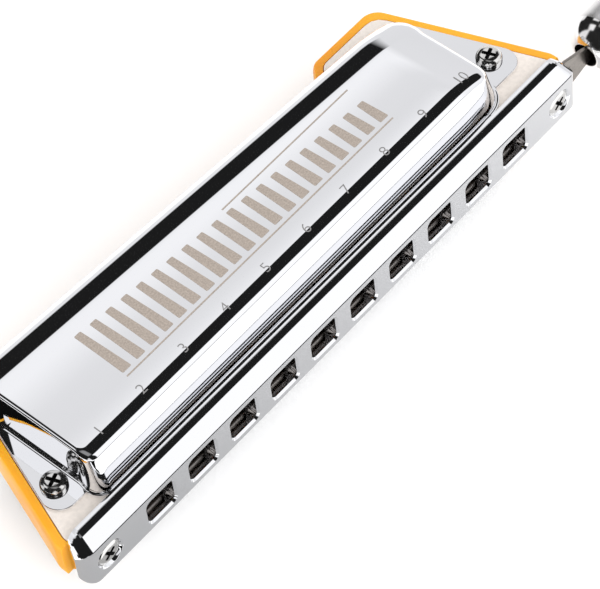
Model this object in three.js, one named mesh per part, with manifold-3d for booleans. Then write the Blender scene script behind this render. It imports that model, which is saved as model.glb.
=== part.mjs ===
// A ten-hole slide harmonica: a moulded comb between two reed plates and two chromed covers, with a
// chromed mouthpiece in front that holds a sprung slide worked by a button at its right end.
//
// Millimetres. X runs along the mouthpiece towards the button, Y from the mouthpiece to the open back,
// Z up. The pieces are laid out with Y = 0 on the mouthpiece's front face and Z = 0 at mid thickness;
// the finished group is moved so that its origin is the centre of the face it lies on.

import * as THREE from "three";
import { mergeVertices } from "three/addons/utils/BufferGeometryUtils.js";
import Module from "manifold-3d";

const wasm = await Module();
wasm.setup();

// ---------- Driving dimensions ----------

// Mouth holes
const holeCount = 10;
const holePitch = 9.4;
const holeWidth = 5.8;
const holeHeight = 5.2;
const holeCorner = 0.9;

// Mouthpiece
const endMargin = 16.6; // from the last hole's centre to the mouthpiece's end
const mouthWall = 2.2; // front wall, the depth of a mouth hole
const mouthFlat = 7.8; // height of the flat front face
const mouthDepth = 4.4; // front face to back edge
const mouthHeight = 11.0; // height at the back edge
const mouthEndRound = 2.4;
const mouthRollStart = 0.35; // share of the depth over which the rolled edge first turns back
const mouthEndTaper = 30.0; // degrees the ends lean in towards the back
const channelHeight = 8.2; // the channel that holds the slide assembly
const channelEndWall = 3.7; // from the mouthpiece's front corners
const mouthScrewInset = 5.2; // from the mouthpiece's end

// Slide assembly
const sheet = 0.4; // cage and backing plate
const slideSheet = 0.6;
const slideHeight = 7.2;
const travelShort = 0.1; // what the travel is short of half a hole pitch
const slideLand = 0.3; // what a slide window is narrower than the travel, so that none leaks
const windowHeight = 1.95;
const windowFloor = 0.5; // from mid height to a window's near edge
const neckHeight = 3.7; // slide's end inside the button
const neckInButton = 5.8;

// Button
const buttonRadius = 5.3;
const buttonBore = 2.15;
const buttonMouth = 2.35; // radius of the opening in the button's round nose
const buttonBarrel = 5.2; // length of the cylindrical part
const buttonCrown = 1.4; // domed end
const buttonEdge = 1.1;
const buttonFace = 2.4; // radius of the flat middle of the domed end
const neckTaper = 0.35; // how far the slide goes on narrowing inside the button

// Comb
const combDepth = 35.6; // mouthpiece's front face to the comb's back edge
const combHeight = 7.2;
const combOverhang = 0.3; // how far the comb's ends stand out past the mouthpiece's corners
const combShoulder = 1.5; // straight stretch of the end before it tapers
const combTaper = 19.4; // degrees the ends lean in towards the back
const combBulge = 0.5; // how far the rounded edge stands out past the top rim
const combBulgeRise = 2.0;
const combRim = 1.2; // flat rim beside the reed plate
const combFold = 2.0; // rounding of the shoulders and of the recess
const combCorner = 3.2;
const earWidth = 14.8; // back corner to the start of the recess
const recessDepth = 6.8;
const septum = 1.0; // wall between the upper and lower chambers
const chamberWidth = 2.7;
const bassChamber = 23.0;
const trebleChamber = 16.5;

// Reeds and reed plates
const plateSheet = 1.0;
const reedSlotWidth = 2.3;
const reedWidth = 2.1;
const reedSheet = 0.22;
const bassReed = 17.5;
const trebleReed = 10.5;
const reedFoot = 2.6; // the riveted end
const reedTip = 1.7; // width at the free end
const rivetRadius = 0.7;
const rivetHead = 0.25;

// Covers
const coverSheet = 0.5;
const coverRise = 8.35; // flange top to crown
const lipGap = 0.7; // from the mouthpiece's back edge to the cover's front lip
const lipDepth = 1.6;
const coverFrontRun = 2.2; // how far back the front wall leans over its height
const domeInset = 10.1; // mouthpiece's end to the foot of the cover's end wall
const bassLean = 0.9; // how far each end wall leans in
const trebleLean = 3.0;
const crownRound = 1.6;
const endRound = 3.0; // between the crown and each end wall
const bassCoverBack = 34.4; // back edge of the cover, at the foot of each end wall
const trebleCoverBack = 29.0;
const backRoll = 4.4; // radius of the rolled back edge
const backCorner = 7.0;
const backLip = 4.6; // height of the opening under the rolled back edge
const flangeFront = 8.1;
const flangeCorner = 4.6;

// Fasteners
const screwRim = 0.45; // height of a screw head's straight rim, as a share of the head's
const screwShoulder = { radius: 0.82, height: 0.85 }; // shares of the head's radius and height
const screwFlat = 0.45;
const crossReach = 0.55; // share of the head's radius
const mouthScrew = { radius: 1.0, length: 10.4, head: 2.3, headHeight: 0.9 };
const mouthDish = { radius: 2.75, depth: 1.0 };
const bumperRadius = 1.4;
const coverScrew = { radius: 1.1, head: 2.2, headHeight: 1.35 };
const coverScrewY = 12.8;
const coverScrewInset = 7.3; // from the mouthpiece's end
const nutAcross = 3.8;
const nutHeight = 1.3;
const crossWidth = 0.6;
const crossDepth = 0.6;

// Return spring, a wire coil round a post of the comb, whose leg reaches into the slide
const wire = 0.5;
const coilRadius = 1.2;
const coilTurns = 3;
const coilPitch = 0.62;
const coilX = 6.0; // past the last hole's centre
const coilY = 14.5;
const postRadius = 0.75;

// Clearances
const buttonGap = 0.65; // between the pressed button and the mouthpiece
const fit = 0.05; // sliding faces, and a screw in its hole
const seat = 0.15; // a piece laid in its pocket
const apart = 0.3; // pieces that only come near each other
const past = 1.0; // how far a cutting shape runs past the face it cuts

// ---------- Places that follow from the dimensions ----------

const lastHole = ((holeCount - 1) / 2) * holePitch;
const halfLength = lastHole + endMargin;
const halfComb = combHeight / 2;
const cageY = mouthWall;
const slideY = cageY + sheet + fit;
const backingY = slideY + slideSheet + fit;
const combFront = backingY + sheet;
const coverFront = mouthDepth + lipGap;
const slideMid = slideY + slideSheet / 2;
const channelHalf = halfLength - channelEndWall;
const insertHalf = channelHalf - seat;
const slideTravel = holePitch / 2 - travelShort;
const windowWidth = slideTravel - slideLand;
const mouthScrewX = halfLength - mouthScrewInset;
const coverScrewX = halfLength - coverScrewInset;
const core = halfComb - plateSheet;
const flangeTop = halfComb + coverSheet;
const crown = flangeTop + coverRise;
const domeHalf = halfLength - domeInset;
const coverLean = Math.atan2(bassCoverBack - trebleCoverBack, 2 * domeHalf);
const coverMid = (bassCoverBack + trebleCoverBack) / 2;
const crownFront = coverFront + lipDepth + coverFrontRun + crownRound;
const restY = (crownFront + coverMid - backRoll) / 2; // middle of the crown's flat
const coilCentre = new THREE.Vector2(lastHole + coilX, coilY);
const legSwing = Math.atan2(slideTravel / 2, coilY - slideMid);
const legLength = (coilY - slideMid) / Math.cos(legSwing);
const buttonX = halfLength + slideTravel + buttonGap;

const holes = Array.from({ length: holeCount }, (_, i) => i * holePitch - lastHole);
const chambers = holes.flatMap((x, i) =>
  [-1, 1].map((side, k) => ({
    x: x + (side * holePitch) / 4,
    hole: i + 1,
    draw: side > 0,
    share: (2 * i + k) / (2 * holeCount - 1),
  })),
);

// ---------- Shape helpers ----------

function toSolid(geometry) {
  const bare = geometry.clone();
  bare.deleteAttribute("normal");
  bare.deleteAttribute("uv");
  const merged = mergeVertices(bare, 1e-4);
  return new wasm.Manifold(
    new wasm.Mesh({
      numProp: 3,
      vertProperties: merged.attributes.position.array,
      triVerts: new Uint32Array(merged.index.array),
    }),
  );
}

function toGeometry(solid) {
  const mesh = solid.getMesh();
  const positions = new THREE.BufferAttribute(new Float32Array(mesh.vertProperties), mesh.numProp);
  const geometry = new THREE.BufferGeometry().setAttribute("position", positions);
  geometry.setIndex(new THREE.BufferAttribute(new Uint32Array(mesh.triVerts), 1));
  geometry.computeVertexNormals();
  return geometry;
}

function box(x0, x1, y0, y1, z0, z1) {
  const geometry = new THREE.BoxGeometry(x1 - x0, y1 - y0, z1 - z0);
  return toSolid(geometry.translate((x0 + x1) / 2, (y0 + y1) / 2, (z0 + z1) / 2));
}

const axes = {
  // shape drawn in X, Y and raised along Z
  z: new THREE.Matrix4(),
  // shape drawn in Y, Z and drawn out along X
  x: new THREE.Matrix4().makeBasis(
    new THREE.Vector3(0, 1, 0),
    new THREE.Vector3(0, 0, 1),
    new THREE.Vector3(1, 0, 0),
  ),
  // shape drawn in Z, X and drawn out along Y
  y: new THREE.Matrix4().makeBasis(
    new THREE.Vector3(0, 0, 1),
    new THREE.Vector3(1, 0, 0),
    new THREE.Vector3(0, 1, 0),
  ),
};

function drawOut(shape, axis, from, to, curveSegments = 4) {
  const geometry = new THREE.ExtrudeGeometry(shape, {
    depth: to - from,
    bevelEnabled: false,
    curveSegments,
  });
  return toSolid(geometry.translate(0, 0, from).applyMatrix4(axes[axis]));
}

function roundCorners(corners, radii) {
  const shape = new THREE.Shape();
  corners.forEach((corner, i) => {
    const before = corners.at(i - 1);
    const after = corners[(i + 1) % corners.length];
    const radius = Array.isArray(radii) ? radii[i] : radii;
    const back = before.clone().sub(corner);
    const ahead = after.clone().sub(corner);
    const half = Math.abs(back.angleTo(ahead)) / 2;
    const room = Math.min(back.length(), ahead.length()) / (2 + seat);
    const reach = Math.min(radius / Math.tan(half), room);
    const start = corner.clone().addScaledVector(back.normalize(), reach);
    const end = corner.clone().addScaledVector(ahead.normalize(), reach);
    if (i === 0) shape.moveTo(start.x, start.y);
    else shape.lineTo(start.x, start.y);
    if (radius > 0) shape.quadraticCurveTo(corner.x, corner.y, end.x, end.y);
  });
  shape.closePath();
  return shape;
}

function inset(corners, distance) {
  return corners.map((corner, i) => {
    const a = corner.clone().sub(corners.at(i - 1)).normalize();
    const b = corners[(i + 1) % corners.length].clone().sub(corner).normalize();
    const normalA = new THREE.Vector2(-a.y, a.x);
    const normalB = new THREE.Vector2(-b.y, b.x);
    const along = normalA.clone().add(normalB);
    return corner.clone().addScaledVector(along, distance / (1 + normalA.dot(normalB)));
  });
}

function rectangle(centreX, centreY, width, height, radius = 0) {
  const corners = [
    [-1, -1],
    [1, -1],
    [1, 1],
    [-1, 1],
  ].map(([sx, sy]) => new THREE.Vector2(centreX + (sx * width) / 2, centreY + (sy * height) / 2));
  return roundCorners(corners, radius);
}

function disc(centreX, centreY, radius) {
  return new THREE.Shape().absarc(centreX, centreY, radius, 0, 2 * Math.PI);
}

function rod(axis, a, b, radius, from, to, segments = 6) {
  // Six segments on each of the arc's halves make a twelve-sided rod.
  return drawOut(disc(a, b, radius), axis, from, to, segments);
}

function turned(profile, segments = 20) {
  const points = profile.map(([radius, height]) => new THREE.Vector2(radius, height));
  return toSolid(new THREE.LatheGeometry(points, segments));
}

function sum(solids) {
  return solids.reduce((a, b) => a.add(b));
}

function cut(body, tools) {
  return tools.length ? body.subtract(sum(tools)) : body;
}

function crossRecess(reach, floor, top) {
  const bars = [rectangle(0, 0, 2 * reach, crossWidth), rectangle(0, 0, crossWidth, 2 * reach)];
  return sum(bars.map((bar) => drawOut(bar, "z", floor, top + past)));
}

// ---------- Materials ----------

const finishes = {
  chrome: { color: 0xdfe1e6, roughness: 0.08, metalness: 1 },
  steel: { color: 0xa9a29a, roughness: 0.3, metalness: 1 },
  plate: { color: 0xe6d9d2, roughness: 0.35, metalness: 1 },
  reed: { color: 0xd9b45e, roughness: 0.35, metalness: 1 },
  comb: { color: 0xf5a83a, roughness: 0.35, metalness: 0 },
  screw: { color: 0xb9b6b2, roughness: 0.25, metalness: 1 },
  spring: { color: 0x8e8f92, roughness: 0.3, metalness: 1 },
  bumper: { color: 0x2b2b2d, roughness: 0.8, metalness: 0 },
};
const materials = Object.fromEntries(
  Object.entries(finishes).map(([name, finish]) => [name, new THREE.MeshStandardMaterial(finish)]),
);

const harmonica = new THREE.Group();
harmonica.name = "harmonica";
const lowerSide = new THREE.Group(); // the mirror image of the upper side
lowerSide.name = "lower_side";
lowerSide.scale.z = -1;
harmonica.add(lowerSide);

function place(name, solid, finish, parent = harmonica) {
  const mesh = new THREE.Mesh(toGeometry(solid), materials[finish]);
  mesh.name = name;
  parent.add(mesh);
  return mesh;
}

// ---------- Comb ----------

function combCorners(distance) {
  const lean = Math.tan(THREE.MathUtils.degToRad(combTaper));
  const shoulderY = mouthDepth + combShoulder;
  const frontX = halfLength + combOverhang;
  const backX = frontX - (combDepth - shoulderY) * lean;
  const recessX = backX - earWidth;
  const right = [
    [frontX, combFront - past],
    [frontX, shoulderY],
    [backX, combDepth],
    [recessX, combDepth],
    [recessX - recessDepth, combDepth - recessDepth],
  ].map(([x, y]) => new THREE.Vector2(x, y));
  const left = right.map((p) => new THREE.Vector2(-p.x, p.y)).reverse();
  return inset([...right, ...left], distance);
}
const combSide = [0, combFold, combCorner, combFold, combFold];
const combRadii = [...combSide, ...combSide.toReversed()];

function combOutline(distance) {
  return roundCorners(combCorners(distance), combRadii);
}

function chamberEnd(share) {
  return combFront + bassChamber + (trebleChamber - bassChamber) * share;
}

function legSlot() {
  const reach = coilY - combFront + past;
  const narrow = wire / 2 + seat;
  const wide = reach * Math.tan(legSwing) + narrow;
  const sweep = [
    [-narrow, 0],
    [-wide, -reach],
    [wide, -reach],
    [narrow, 0],
  ].map(([x, y]) => new THREE.Vector2(x, y).add(coilCentre));
  const half = wire / 2 + fit + seat / 2;
  return drawOut(new THREE.Shape(sweep), "z", -half, half);
}

function coilPocket() {
  const radius = coilRadius + wire / 2 + seat + fit;
  const floor = (-coilTurns * coilPitch) / 2 - wire / 2 - seat;
  const well = rod("z", coilCentre.x, coilCentre.y, radius, floor, core + past);
  const post = rod("z", coilCentre.x, coilCentre.y, postRadius, floor - past, core);
  return well.subtract(post);
}

function buildComb() {
  const body = toSolid(
    new THREE.ExtrudeGeometry(combOutline(combBulge), {
      depth: combHeight - 2 * combBulgeRise,
      bevelThickness: combBulgeRise,
      bevelSize: combBulge,
      bevelSegments: 3,
      curveSegments: 3,
    }).translate(0, 0, -halfComb + combBulgeRise),
  );
  const wide = halfLength + past;
  const behind = box(-wide, wide, mouthDepth + fit, combDepth + past, -halfComb, halfComb);
  const tongue = box(-insertHalf, insertHalf, combFront, mouthDepth + past, -halfComb, halfComb);
  const pocket = combOutline(combBulge + combRim);
  const tools = [
    drawOut(pocket, "z", core, halfComb + past, 3),
    drawOut(pocket, "z", -halfComb - past, -core, 3),
    legSlot(),
    coilPocket(),
  ];
  for (const chamber of chambers) {
    const x0 = chamber.x - chamberWidth / 2;
    const end = chamberEnd(chamber.share);
    tools.push(box(x0, x0 + chamberWidth, combFront - past, end, septum / 2, core + past));
    tools.push(box(x0, x0 + chamberWidth, combFront - past, end, -core - past, -septum / 2));
  }
  for (const side of [-1, 1]) {
    const screwEnd = mouthScrew.length + mouthDish.depth + seat;
    tools.push(
      rod("y", 0, side * mouthScrewX, mouthScrew.radius + fit, combFront - past, screwEnd),
      rod("z", side * coverScrewX, coverScrewY, coverScrew.radius + fit, -core - past, core + past),
    );
  }
  return cut(body.intersect(behind).add(tongue), tools);
}
place("comb", buildComb(), "comb");

// ---------- Reed plates and reeds ----------

function reedLength(share) {
  return bassReed + (trebleReed - bassReed) * share;
}

function slotEnd(share) {
  return chamberEnd(share) - apart;
}

function slotStart(share) {
  return slotEnd(share) - reedLength(share) + reedFoot;
}

function buildReedPlate() {
  const outline = roundCorners(combCorners(combBulge + combRim + seat), combRadii);
  const behind = box(-halfLength, halfLength, mouthDepth + seat, combDepth, core, halfComb);
  const tongue = box(-insertHalf, insertHalf, combFront, mouthDepth + past, core, halfComb);
  const tools = chambers.map(({ x, share }) =>
    box(
      x - reedSlotWidth / 2,
      x + reedSlotWidth / 2,
      slotStart(share),
      slotEnd(share),
      core - past,
      halfComb + past,
    ),
  );
  for (const side of [-1, 1]) {
    const radius = coverScrew.radius + fit;
    tools.push(rod("z", side * coverScrewX, coverScrewY, radius, core - past, halfComb + past));
  }
  return cut(drawOut(outline, "z", core, halfComb, 3).intersect(behind.add(tongue)), tools);
}
place("upper_reed_plate", buildReedPlate(), "plate");
place("lower_reed_plate", buildReedPlate(), "plate", lowerSide);

// A draw reed lies on the plate's outer face with its foot at the back of the slot; a blow reed lies
// on its inner face, inside the chamber. Both are tapered tongues with the rivet's head on the foot.
function buildReed({ share, draw }) {
  const free = reedLength(share) - apart;
  const right = [
    [reedWidth / 2, 0],
    [reedWidth / 2, reedFoot],
    [reedTip / 2, free],
  ];
  const left = right.map(([x, y]) => [-x, y]).reverse();
  const outline = new THREE.Shape([...right, ...left].map(([x, y]) => new THREE.Vector2(x, y)));
  const tongue = drawOut(outline, "z", 0, reedSheet);
  const head = rod("z", 0, reedFoot / 2, rivetRadius, reedSheet / 2, reedSheet + rivetHead, 4);
  return tongue.add(head);
}

function placeReed(prefix, chamber, parent) {
  const kind = chamber.draw ? "draw" : "blow";
  const name = `${prefix}_${kind}_reed_${chamber.hole}`;
  const reed = place(name, buildReed(chamber), "reed", parent);
  if (chamber.draw) {
    // foot on the plate behind the slot, tongue pointing forward over the slot
    reed.rotation.z = Math.PI;
    reed.position.set(chamber.x, slotEnd(chamber.share) + reedFoot, halfComb + fit);
  } else {
    // foot in front of the slot, under the plate, tongue pointing back
    reed.rotation.y = Math.PI;
    reed.position.set(chamber.x, slotStart(chamber.share) - reedFoot, core - fit);
  }
}
for (const chamber of chambers) {
  placeReed("upper", chamber, harmonica);
  placeReed("lower", chamber, lowerSide);
}

// ---------- Covers ----------

// The dome is where three drawn-out sections meet: the front wall's, the rolled back's and the ends'.
function dome(shrink) {
  const top = crown - shrink;
  const foot = halfComb - past;
  const frontFoot = coverFront + lipDepth + shrink;
  const far = combDepth + 2 * past;
  const frontWall = new THREE.Shape();
  frontWall.moveTo(frontFoot, foot);
  frontWall.lineTo(far, foot);
  frontWall.lineTo(far, top);
  frontWall.lineTo(frontFoot + coverFrontRun + crownRound, top);
  frontWall.quadraticCurveTo(
    frontFoot + coverFrontRun,
    top,
    frontFoot + coverFrontRun - crownRound / 3,
    top - crownRound,
  );
  frontWall.lineTo(frontFoot, flangeTop);
  const front = drawOut(frontWall, "x", -halfLength, halfLength);

  const back = -shrink;
  const roll = backRoll - shrink;
  const backWall = new THREE.Shape();
  backWall.moveTo(back, foot);
  backWall.lineTo(back, top - roll);
  backWall.absarc(back - roll, top - roll, roll, 0, Math.PI / 2);
  backWall.lineTo(-far, top);
  backWall.lineTo(-far, foot);
  const rolled = toGeometry(drawOut(backWall, "x", -2 * halfLength, 2 * halfLength, 6));
  const rear = toSolid(rolled.rotateZ(-coverLean).translate(0, coverMid, 0));

  const plan = [
    [-domeHalf, 0],
    [domeHalf, 0],
    [domeHalf, trebleCoverBack],
    [-domeHalf, bassCoverBack],
  ].map(([x, y]) => new THREE.Vector2(x, y));
  const planRadii = [0, 0, backCorner, backCorner].map((radius) => Math.max(radius - shrink, 0));
  const column = drawOut(roundCorners(inset(plan, shrink), planRadii), "z", foot, top);

  const half = domeHalf - shrink;
  const ends = roundCorners(
    [
      [foot, -half],
      [flangeTop, -half],
      [top, -half + bassLean],
      [top, half - trebleLean],
      [flangeTop, half],
      [foot, half],
    ].map(([z, x]) => new THREE.Vector2(z, x)).reverse(),
    [0, 0, endRound, endRound, 0, 0],
  );
  const sides = drawOut(ends, "y", 0, far, 6);
  return front.intersect(rear).intersect(column).intersect(sides);
}

// The flat ears beside the dome, each with its outer front corner rounded, and the lip in front.
function coverFlange() {
  const rimClear = combBulge + combRim + seat;
  const earBack = Math.min(trebleCoverBack, bassCoverBack) - backCorner;
  const edgeX = halfLength + combOverhang - rimClear;
  const sheetSlab = drawOut(roundCorners(combCorners(rimClear), combRadii), "z", halfComb, flangeTop, 3);
  const ears = [-1, 1].map((side) => {
    const ear = [
      [side * (domeHalf - coverSheet), flangeFront],
      [side * edgeX, flangeFront],
      [side * halfLength, earBack],
      [side * (domeHalf - coverSheet), earBack],
    ].map(([x, y]) => new THREE.Vector2(x, y));
    if (side < 0) ear.reverse();
    const radii = side < 0 ? [0, 0, flangeCorner, 0] : [0, flangeCorner, 0, 0];
    return drawOut(roundCorners(ear, radii), "z", halfComb, flangeTop);
  });
  const lipHalf = domeHalf - backCorner / 2;
  const lipBack = coverFront + lipDepth + coverSheet;
  const lip = box(-lipHalf, lipHalf, coverFront, lipBack, halfComb, flangeTop);
  return sheetSlab.intersect(sum(ears)).add(lip);
}

function buildCover() {
  const far = combDepth + 2 * past;
  const inside = domeHalf - coverSheet - backCorner;
  const openFront = coverFront + lipDepth + coverFrontRun + coverSheet;
  const openBack = box(-inside, inside, openFront, far, halfComb - past, flangeTop + backLip);
  const below = box(-halfLength, halfLength, 0, far, 0, halfComb);
  const above = box(-halfLength, halfLength, 0, far, halfComb - past, crown);
  const shell = cut(dome(0), [dome(coverSheet), openBack, below]).add(coverFlange());
  const radius = coverScrew.radius + fit;
  const screwHoles = [-1, 1].map((side) =>
    rod("z", side * coverScrewX, coverScrewY, radius, halfComb - past, flangeTop + past),
  );
  return cut(shell, [...screwHoles, dome(coverSheet).intersect(above)]);
}
place("upper_cover", buildCover(), "chrome");
place("lower_cover", buildCover(), "chrome", lowerSide);

// ---------- Mouthpiece ----------

function buildMouthpiece() {
  const section = new THREE.Shape();
  section.moveTo(0, -mouthFlat / 2);
  const turn = mouthDepth * mouthRollStart;
  section.quadraticCurveTo(turn, -mouthHeight / 2, mouthDepth, -mouthHeight / 2);
  section.lineTo(mouthDepth, mouthHeight / 2);
  section.quadraticCurveTo(turn, mouthHeight / 2, 0, mouthFlat / 2);
  section.closePath();
  const bar = drawOut(section, "x", -halfLength, halfLength, 6);
  const backHalf = halfLength - mouthDepth * Math.tan(THREE.MathUtils.degToRad(mouthEndTaper));
  const plan = [
    [-halfLength, 0],
    [halfLength, 0],
    [backHalf, mouthDepth],
    [-backHalf, mouthDepth],
  ].map(([x, y]) => new THREE.Vector2(x, y));
  const ends = drawOut(
    roundCorners(plan, [mouthEndRound, mouthEndRound, 0, 0]),
    "z",
    -mouthHeight,
    mouthHeight,
    5,
  );
  const channel = box(
    -channelHalf,
    channelHalf,
    mouthWall,
    mouthDepth + past,
    -channelHeight / 2,
    channelHeight / 2,
  );
  const slideWay = box(
    channelHalf - past,
    halfLength + past,
    slideY - fit,
    backingY,
    -slideHeight / 2 - seat,
    slideHeight / 2 + seat,
  );
  const mouthHoles = holes.map((x) =>
    drawOut(rectangle(0, x, holeHeight, holeWidth, holeCorner), "y", -past, mouthWall + past, 3),
  );
  const screwHoles = [-1, 1].flatMap((side) => [
    rod("y", 0, side * mouthScrewX, mouthScrew.radius + fit, -past, mouthWall + past),
    rod("y", 0, side * mouthScrewX, mouthDish.radius, -past, mouthDish.depth, 8),
  ]);
  return cut(bar.intersect(ends), [channel, slideWay, ...mouthHoles, ...screwHoles]);
}
place("mouthpiece", buildMouthpiece(), "chrome");

// ---------- Slide assembly ----------

function windowAt(x, side, width, from, to) {
  const middle = side * (windowFloor + windowHeight / 2);
  return drawOut(rectangle(middle, x, windowHeight, width, 0), "y", from, to);
}

function platesScrewHoles(from, to) {
  return [-1, 1].map((side) =>
    rod("y", 0, side * mouthScrewX, mouthScrew.radius + fit, from, to),
  );
}

function buildCage() {
  const half = channelHeight / 2 - fit;
  const front = box(-insertHalf, insertHalf, cageY, cageY + sheet, -half, half);
  const rails = [-1, 1].map((side) => {
    const z = [side * half, side * (slideHeight / 2 + fit)].sort((a, b) => a - b);
    return box(-insertHalf, insertHalf, cageY, combFront, z[0], z[1]);
  });
  const tools = platesScrewHoles(cageY - past, cageY + sheet + past);
  for (const x of holes)
    for (const side of [-1, 1])
      tools.push(windowAt(x, side, windowWidth, cageY - past, cageY + sheet + past));
  return cut(sum([front, ...rails]), tools);
}
place("slide_cage", buildCage(), "steel");

function buildBackingPlate() {
  const half = slideHeight / 2;
  const blank = box(-insertHalf, insertHalf, backingY, combFront, -half, half);
  const tools = platesScrewHoles(backingY - past, combFront + past);
  for (const x of holes)
    for (const side of [-1, 1])
      tools.push(windowAt(x, side, windowWidth, backingY - past, combFront + past));
  const sweep = (slideTravel + wire) / 2 + apart;
  tools.push(
    box(
      coilCentre.x - sweep,
      coilCentre.x + sweep,
      backingY - past,
      combFront + past,
      -wire / 2 - seat,
      wire / 2 + seat,
    ),
  );
  return cut(blank, tools);
}
place("slide_backing_plate", buildBackingPlate(), "steel");

// With the button out, the upper windows stand at the mouth holes; pressing it brings the lower ones
// there. Slots let the mouthpiece screws through and stop the slide at both ends of its travel.
function buildSlide() {
  const half = slideHeight / 2;
  const leftEnd = -channelHalf + slideTravel + seat;
  const neckX = buttonX + neckTaper;
  const tipX = buttonX + neckInButton;
  const outline = new THREE.Shape([
    new THREE.Vector2(-half, leftEnd),
    new THREE.Vector2(half, leftEnd),
    new THREE.Vector2(half, halfLength - seat),
    new THREE.Vector2(neckHeight / 2, neckX),
    new THREE.Vector2(neckHeight / 2, tipX),
    new THREE.Vector2(-neckHeight / 2, tipX),
    new THREE.Vector2(-neckHeight / 2, neckX),
    new THREE.Vector2(-half, halfLength - seat),
  ]);
  const from = slideY - past;
  const to = slideY + slideSheet + past;
  const slotHeight = bumperRadius + seat;
  const stop = bumperRadius + fit;
  const tools = [
    box(
      mouthScrewX - stop,
      mouthScrewX + stop + slideTravel,
      from,
      to,
      -slotHeight,
      slotHeight,
    ),
    box(leftEnd - past, -mouthScrewX + stop + slideTravel, from, to, -slotHeight, slotHeight),
  ];
  for (const x of holes) {
    tools.push(windowAt(x, 1, windowWidth, from, to));
    tools.push(windowAt(x + slideTravel, -1, windowWidth, from, to));
  }
  const legX = coilCentre.x + slideTravel / 2;
  const room = wire / 2 + seat + (slideSheet / 2) * Math.tan(legSwing);
  tools.push(box(legX - room, legX + room, from, to, -wire / 2 - seat, wire / 2 + seat));
  return cut(drawOut(outline, "y", slideY, slideY + slideSheet), tools);
}
place("slide", buildSlide(), "steel");

function buildBumper() {
  const ring = rod("y", 0, 0, bumperRadius, slideY - fit, slideY + slideSheet + fit);
  return ring.subtract(rod("y", 0, 0, mouthScrew.radius + fit, slideY - past, backingY + past));
}
for (const [name, side] of [["left_slide_bumper", -1], ["right_slide_bumper", 1]]) {
  place(name, buildBumper(), "bumper").position.x = side * mouthScrewX;
}

// ---------- Button ----------

function buildButton() {
  const noseAngle = Math.asin(buttonMouth / buttonRadius);
  const noseCentre = Math.cos(noseAngle) * buttonRadius;
  const profile = [
    [0, neckInButton + apart],
    [buttonBore, neckInButton + apart],
    [buttonBore, apart],
  ];
  const noseSteps = 7;
  for (let i = 0; i <= noseSteps; i++) {
    const angle = noseAngle + ((Math.PI / 2 - noseAngle) * i) / noseSteps;
    profile.push([
      buttonRadius * Math.sin(angle),
      noseCentre - buttonRadius * Math.cos(angle),
    ]);
  }
  const end = noseCentre + buttonBarrel + buttonCrown;
  profile.push(
    [buttonRadius, noseCentre + buttonBarrel],
    [buttonRadius - buttonEdge / 3, noseCentre + buttonBarrel + buttonCrown / 2],
    [buttonRadius - buttonEdge, end - buttonCrown / 4],
    [buttonFace, end],
    [0, end],
  );
  return turned(profile);
}
const button = place("button", buildButton(), "chrome");
button.rotation.z = -Math.PI / 2;
button.position.set(buttonX, slideMid, 0);

// ---------- Screws and nuts ----------

function panScrew({ radius, length, head, headHeight }) {
  const blank = turned(
    [
      [0, -length],
      [radius, -length],
      [radius, 0],
      [head, 0],
      [head, headHeight * screwRim],
      [head * screwShoulder.radius, headHeight * screwShoulder.height],
      [head * screwFlat, headHeight],
      [0, headHeight],
    ],
    16,
  );
  const upright = toSolid(toGeometry(blank).rotateX(Math.PI / 2));
  return upright.subtract(crossRecess(head * crossReach, headHeight - crossDepth, headHeight));
}

for (const [name, side] of [["left_mouthpiece_screw", -1], ["right_mouthpiece_screw", 1]]) {
  const screw = place(name, panScrew(mouthScrew), "screw");
  screw.rotation.x = Math.PI / 2;
  screw.position.set(side * mouthScrewX, mouthDish.depth, 0);
}

const coverScrewLength = 2 * flangeTop + nutHeight - 2 * fit;
for (const [side, x] of [["left", -coverScrewX], ["right", coverScrewX]]) {
  const screw = place(
    `${side}_cover_screw`,
    panScrew({ ...coverScrew, length: coverScrewLength }),
    "screw",
  );
  screw.position.set(x, coverScrewY, flangeTop);
  const blank = drawOut(
    new THREE.Shape(
      Array.from({ length: 6 }, (_, i) => {
        const angle = (i * Math.PI) / 3;
        return new THREE.Vector2(Math.cos(angle), Math.sin(angle)).multiplyScalar(
          nutAcross / Math.sqrt(3),
        );
      }),
    ),
    "z",
    -nutHeight,
    0,
  );
  const nut = blank.subtract(rod("z", 0, 0, coverScrew.radius + fit, -nutHeight - past, past));
  place(`${side}_cover_nut`, nut, "screw").position.set(x, coverScrewY, -flangeTop);
}

// ---------- Return spring ----------

// The coil and the leg that moves are one wire on the real spring; they are parted beside the coil so
// that the leg can turn about the coil's axis.
class Coil extends THREE.Curve {
  getPoint(t, target = new THREE.Vector3()) {
    const angle = 2 * Math.PI * coilTurns * t;
    return target.set(
      coilRadius * Math.cos(angle),
      coilRadius * Math.sin(angle),
      coilTurns * coilPitch * (t - 0.5),
    );
  }
}

function wireSection() {
  return disc(0, 0, wire / 2);
}

const coil = toSolid(
  new THREE.ExtrudeGeometry(wireSection(), {
    steps: 12 * coilTurns,
    extrudePath: new Coil(),
    curveSegments: 3,
  }),
);
place("return_spring_coil", coil, "spring").position.set(coilCentre.x, coilCentre.y, 0);

const legStart = coilRadius + wire / 2 + apart;
const leg = place("return_spring_leg", rod("y", 0, 0, wire / 2, -legLength, -legStart), "spring");
leg.rotation.z = legSwing;
leg.position.set(coilCentre.x, coilCentre.y, 0);

// ---------- Origin: the centre of the flat crown of the lower cover ----------

harmonica.position.set(0, -restY, crown);

export default harmonica;
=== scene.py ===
"""A ten-hole slide harmonica: chromed covers and mouthpiece, moulded comb, reed plates and slide."""

import logging
import math
from dataclasses import dataclass, field
from enum import Enum

import bmesh
import bpy
from mathutils import Matrix, Vector


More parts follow.
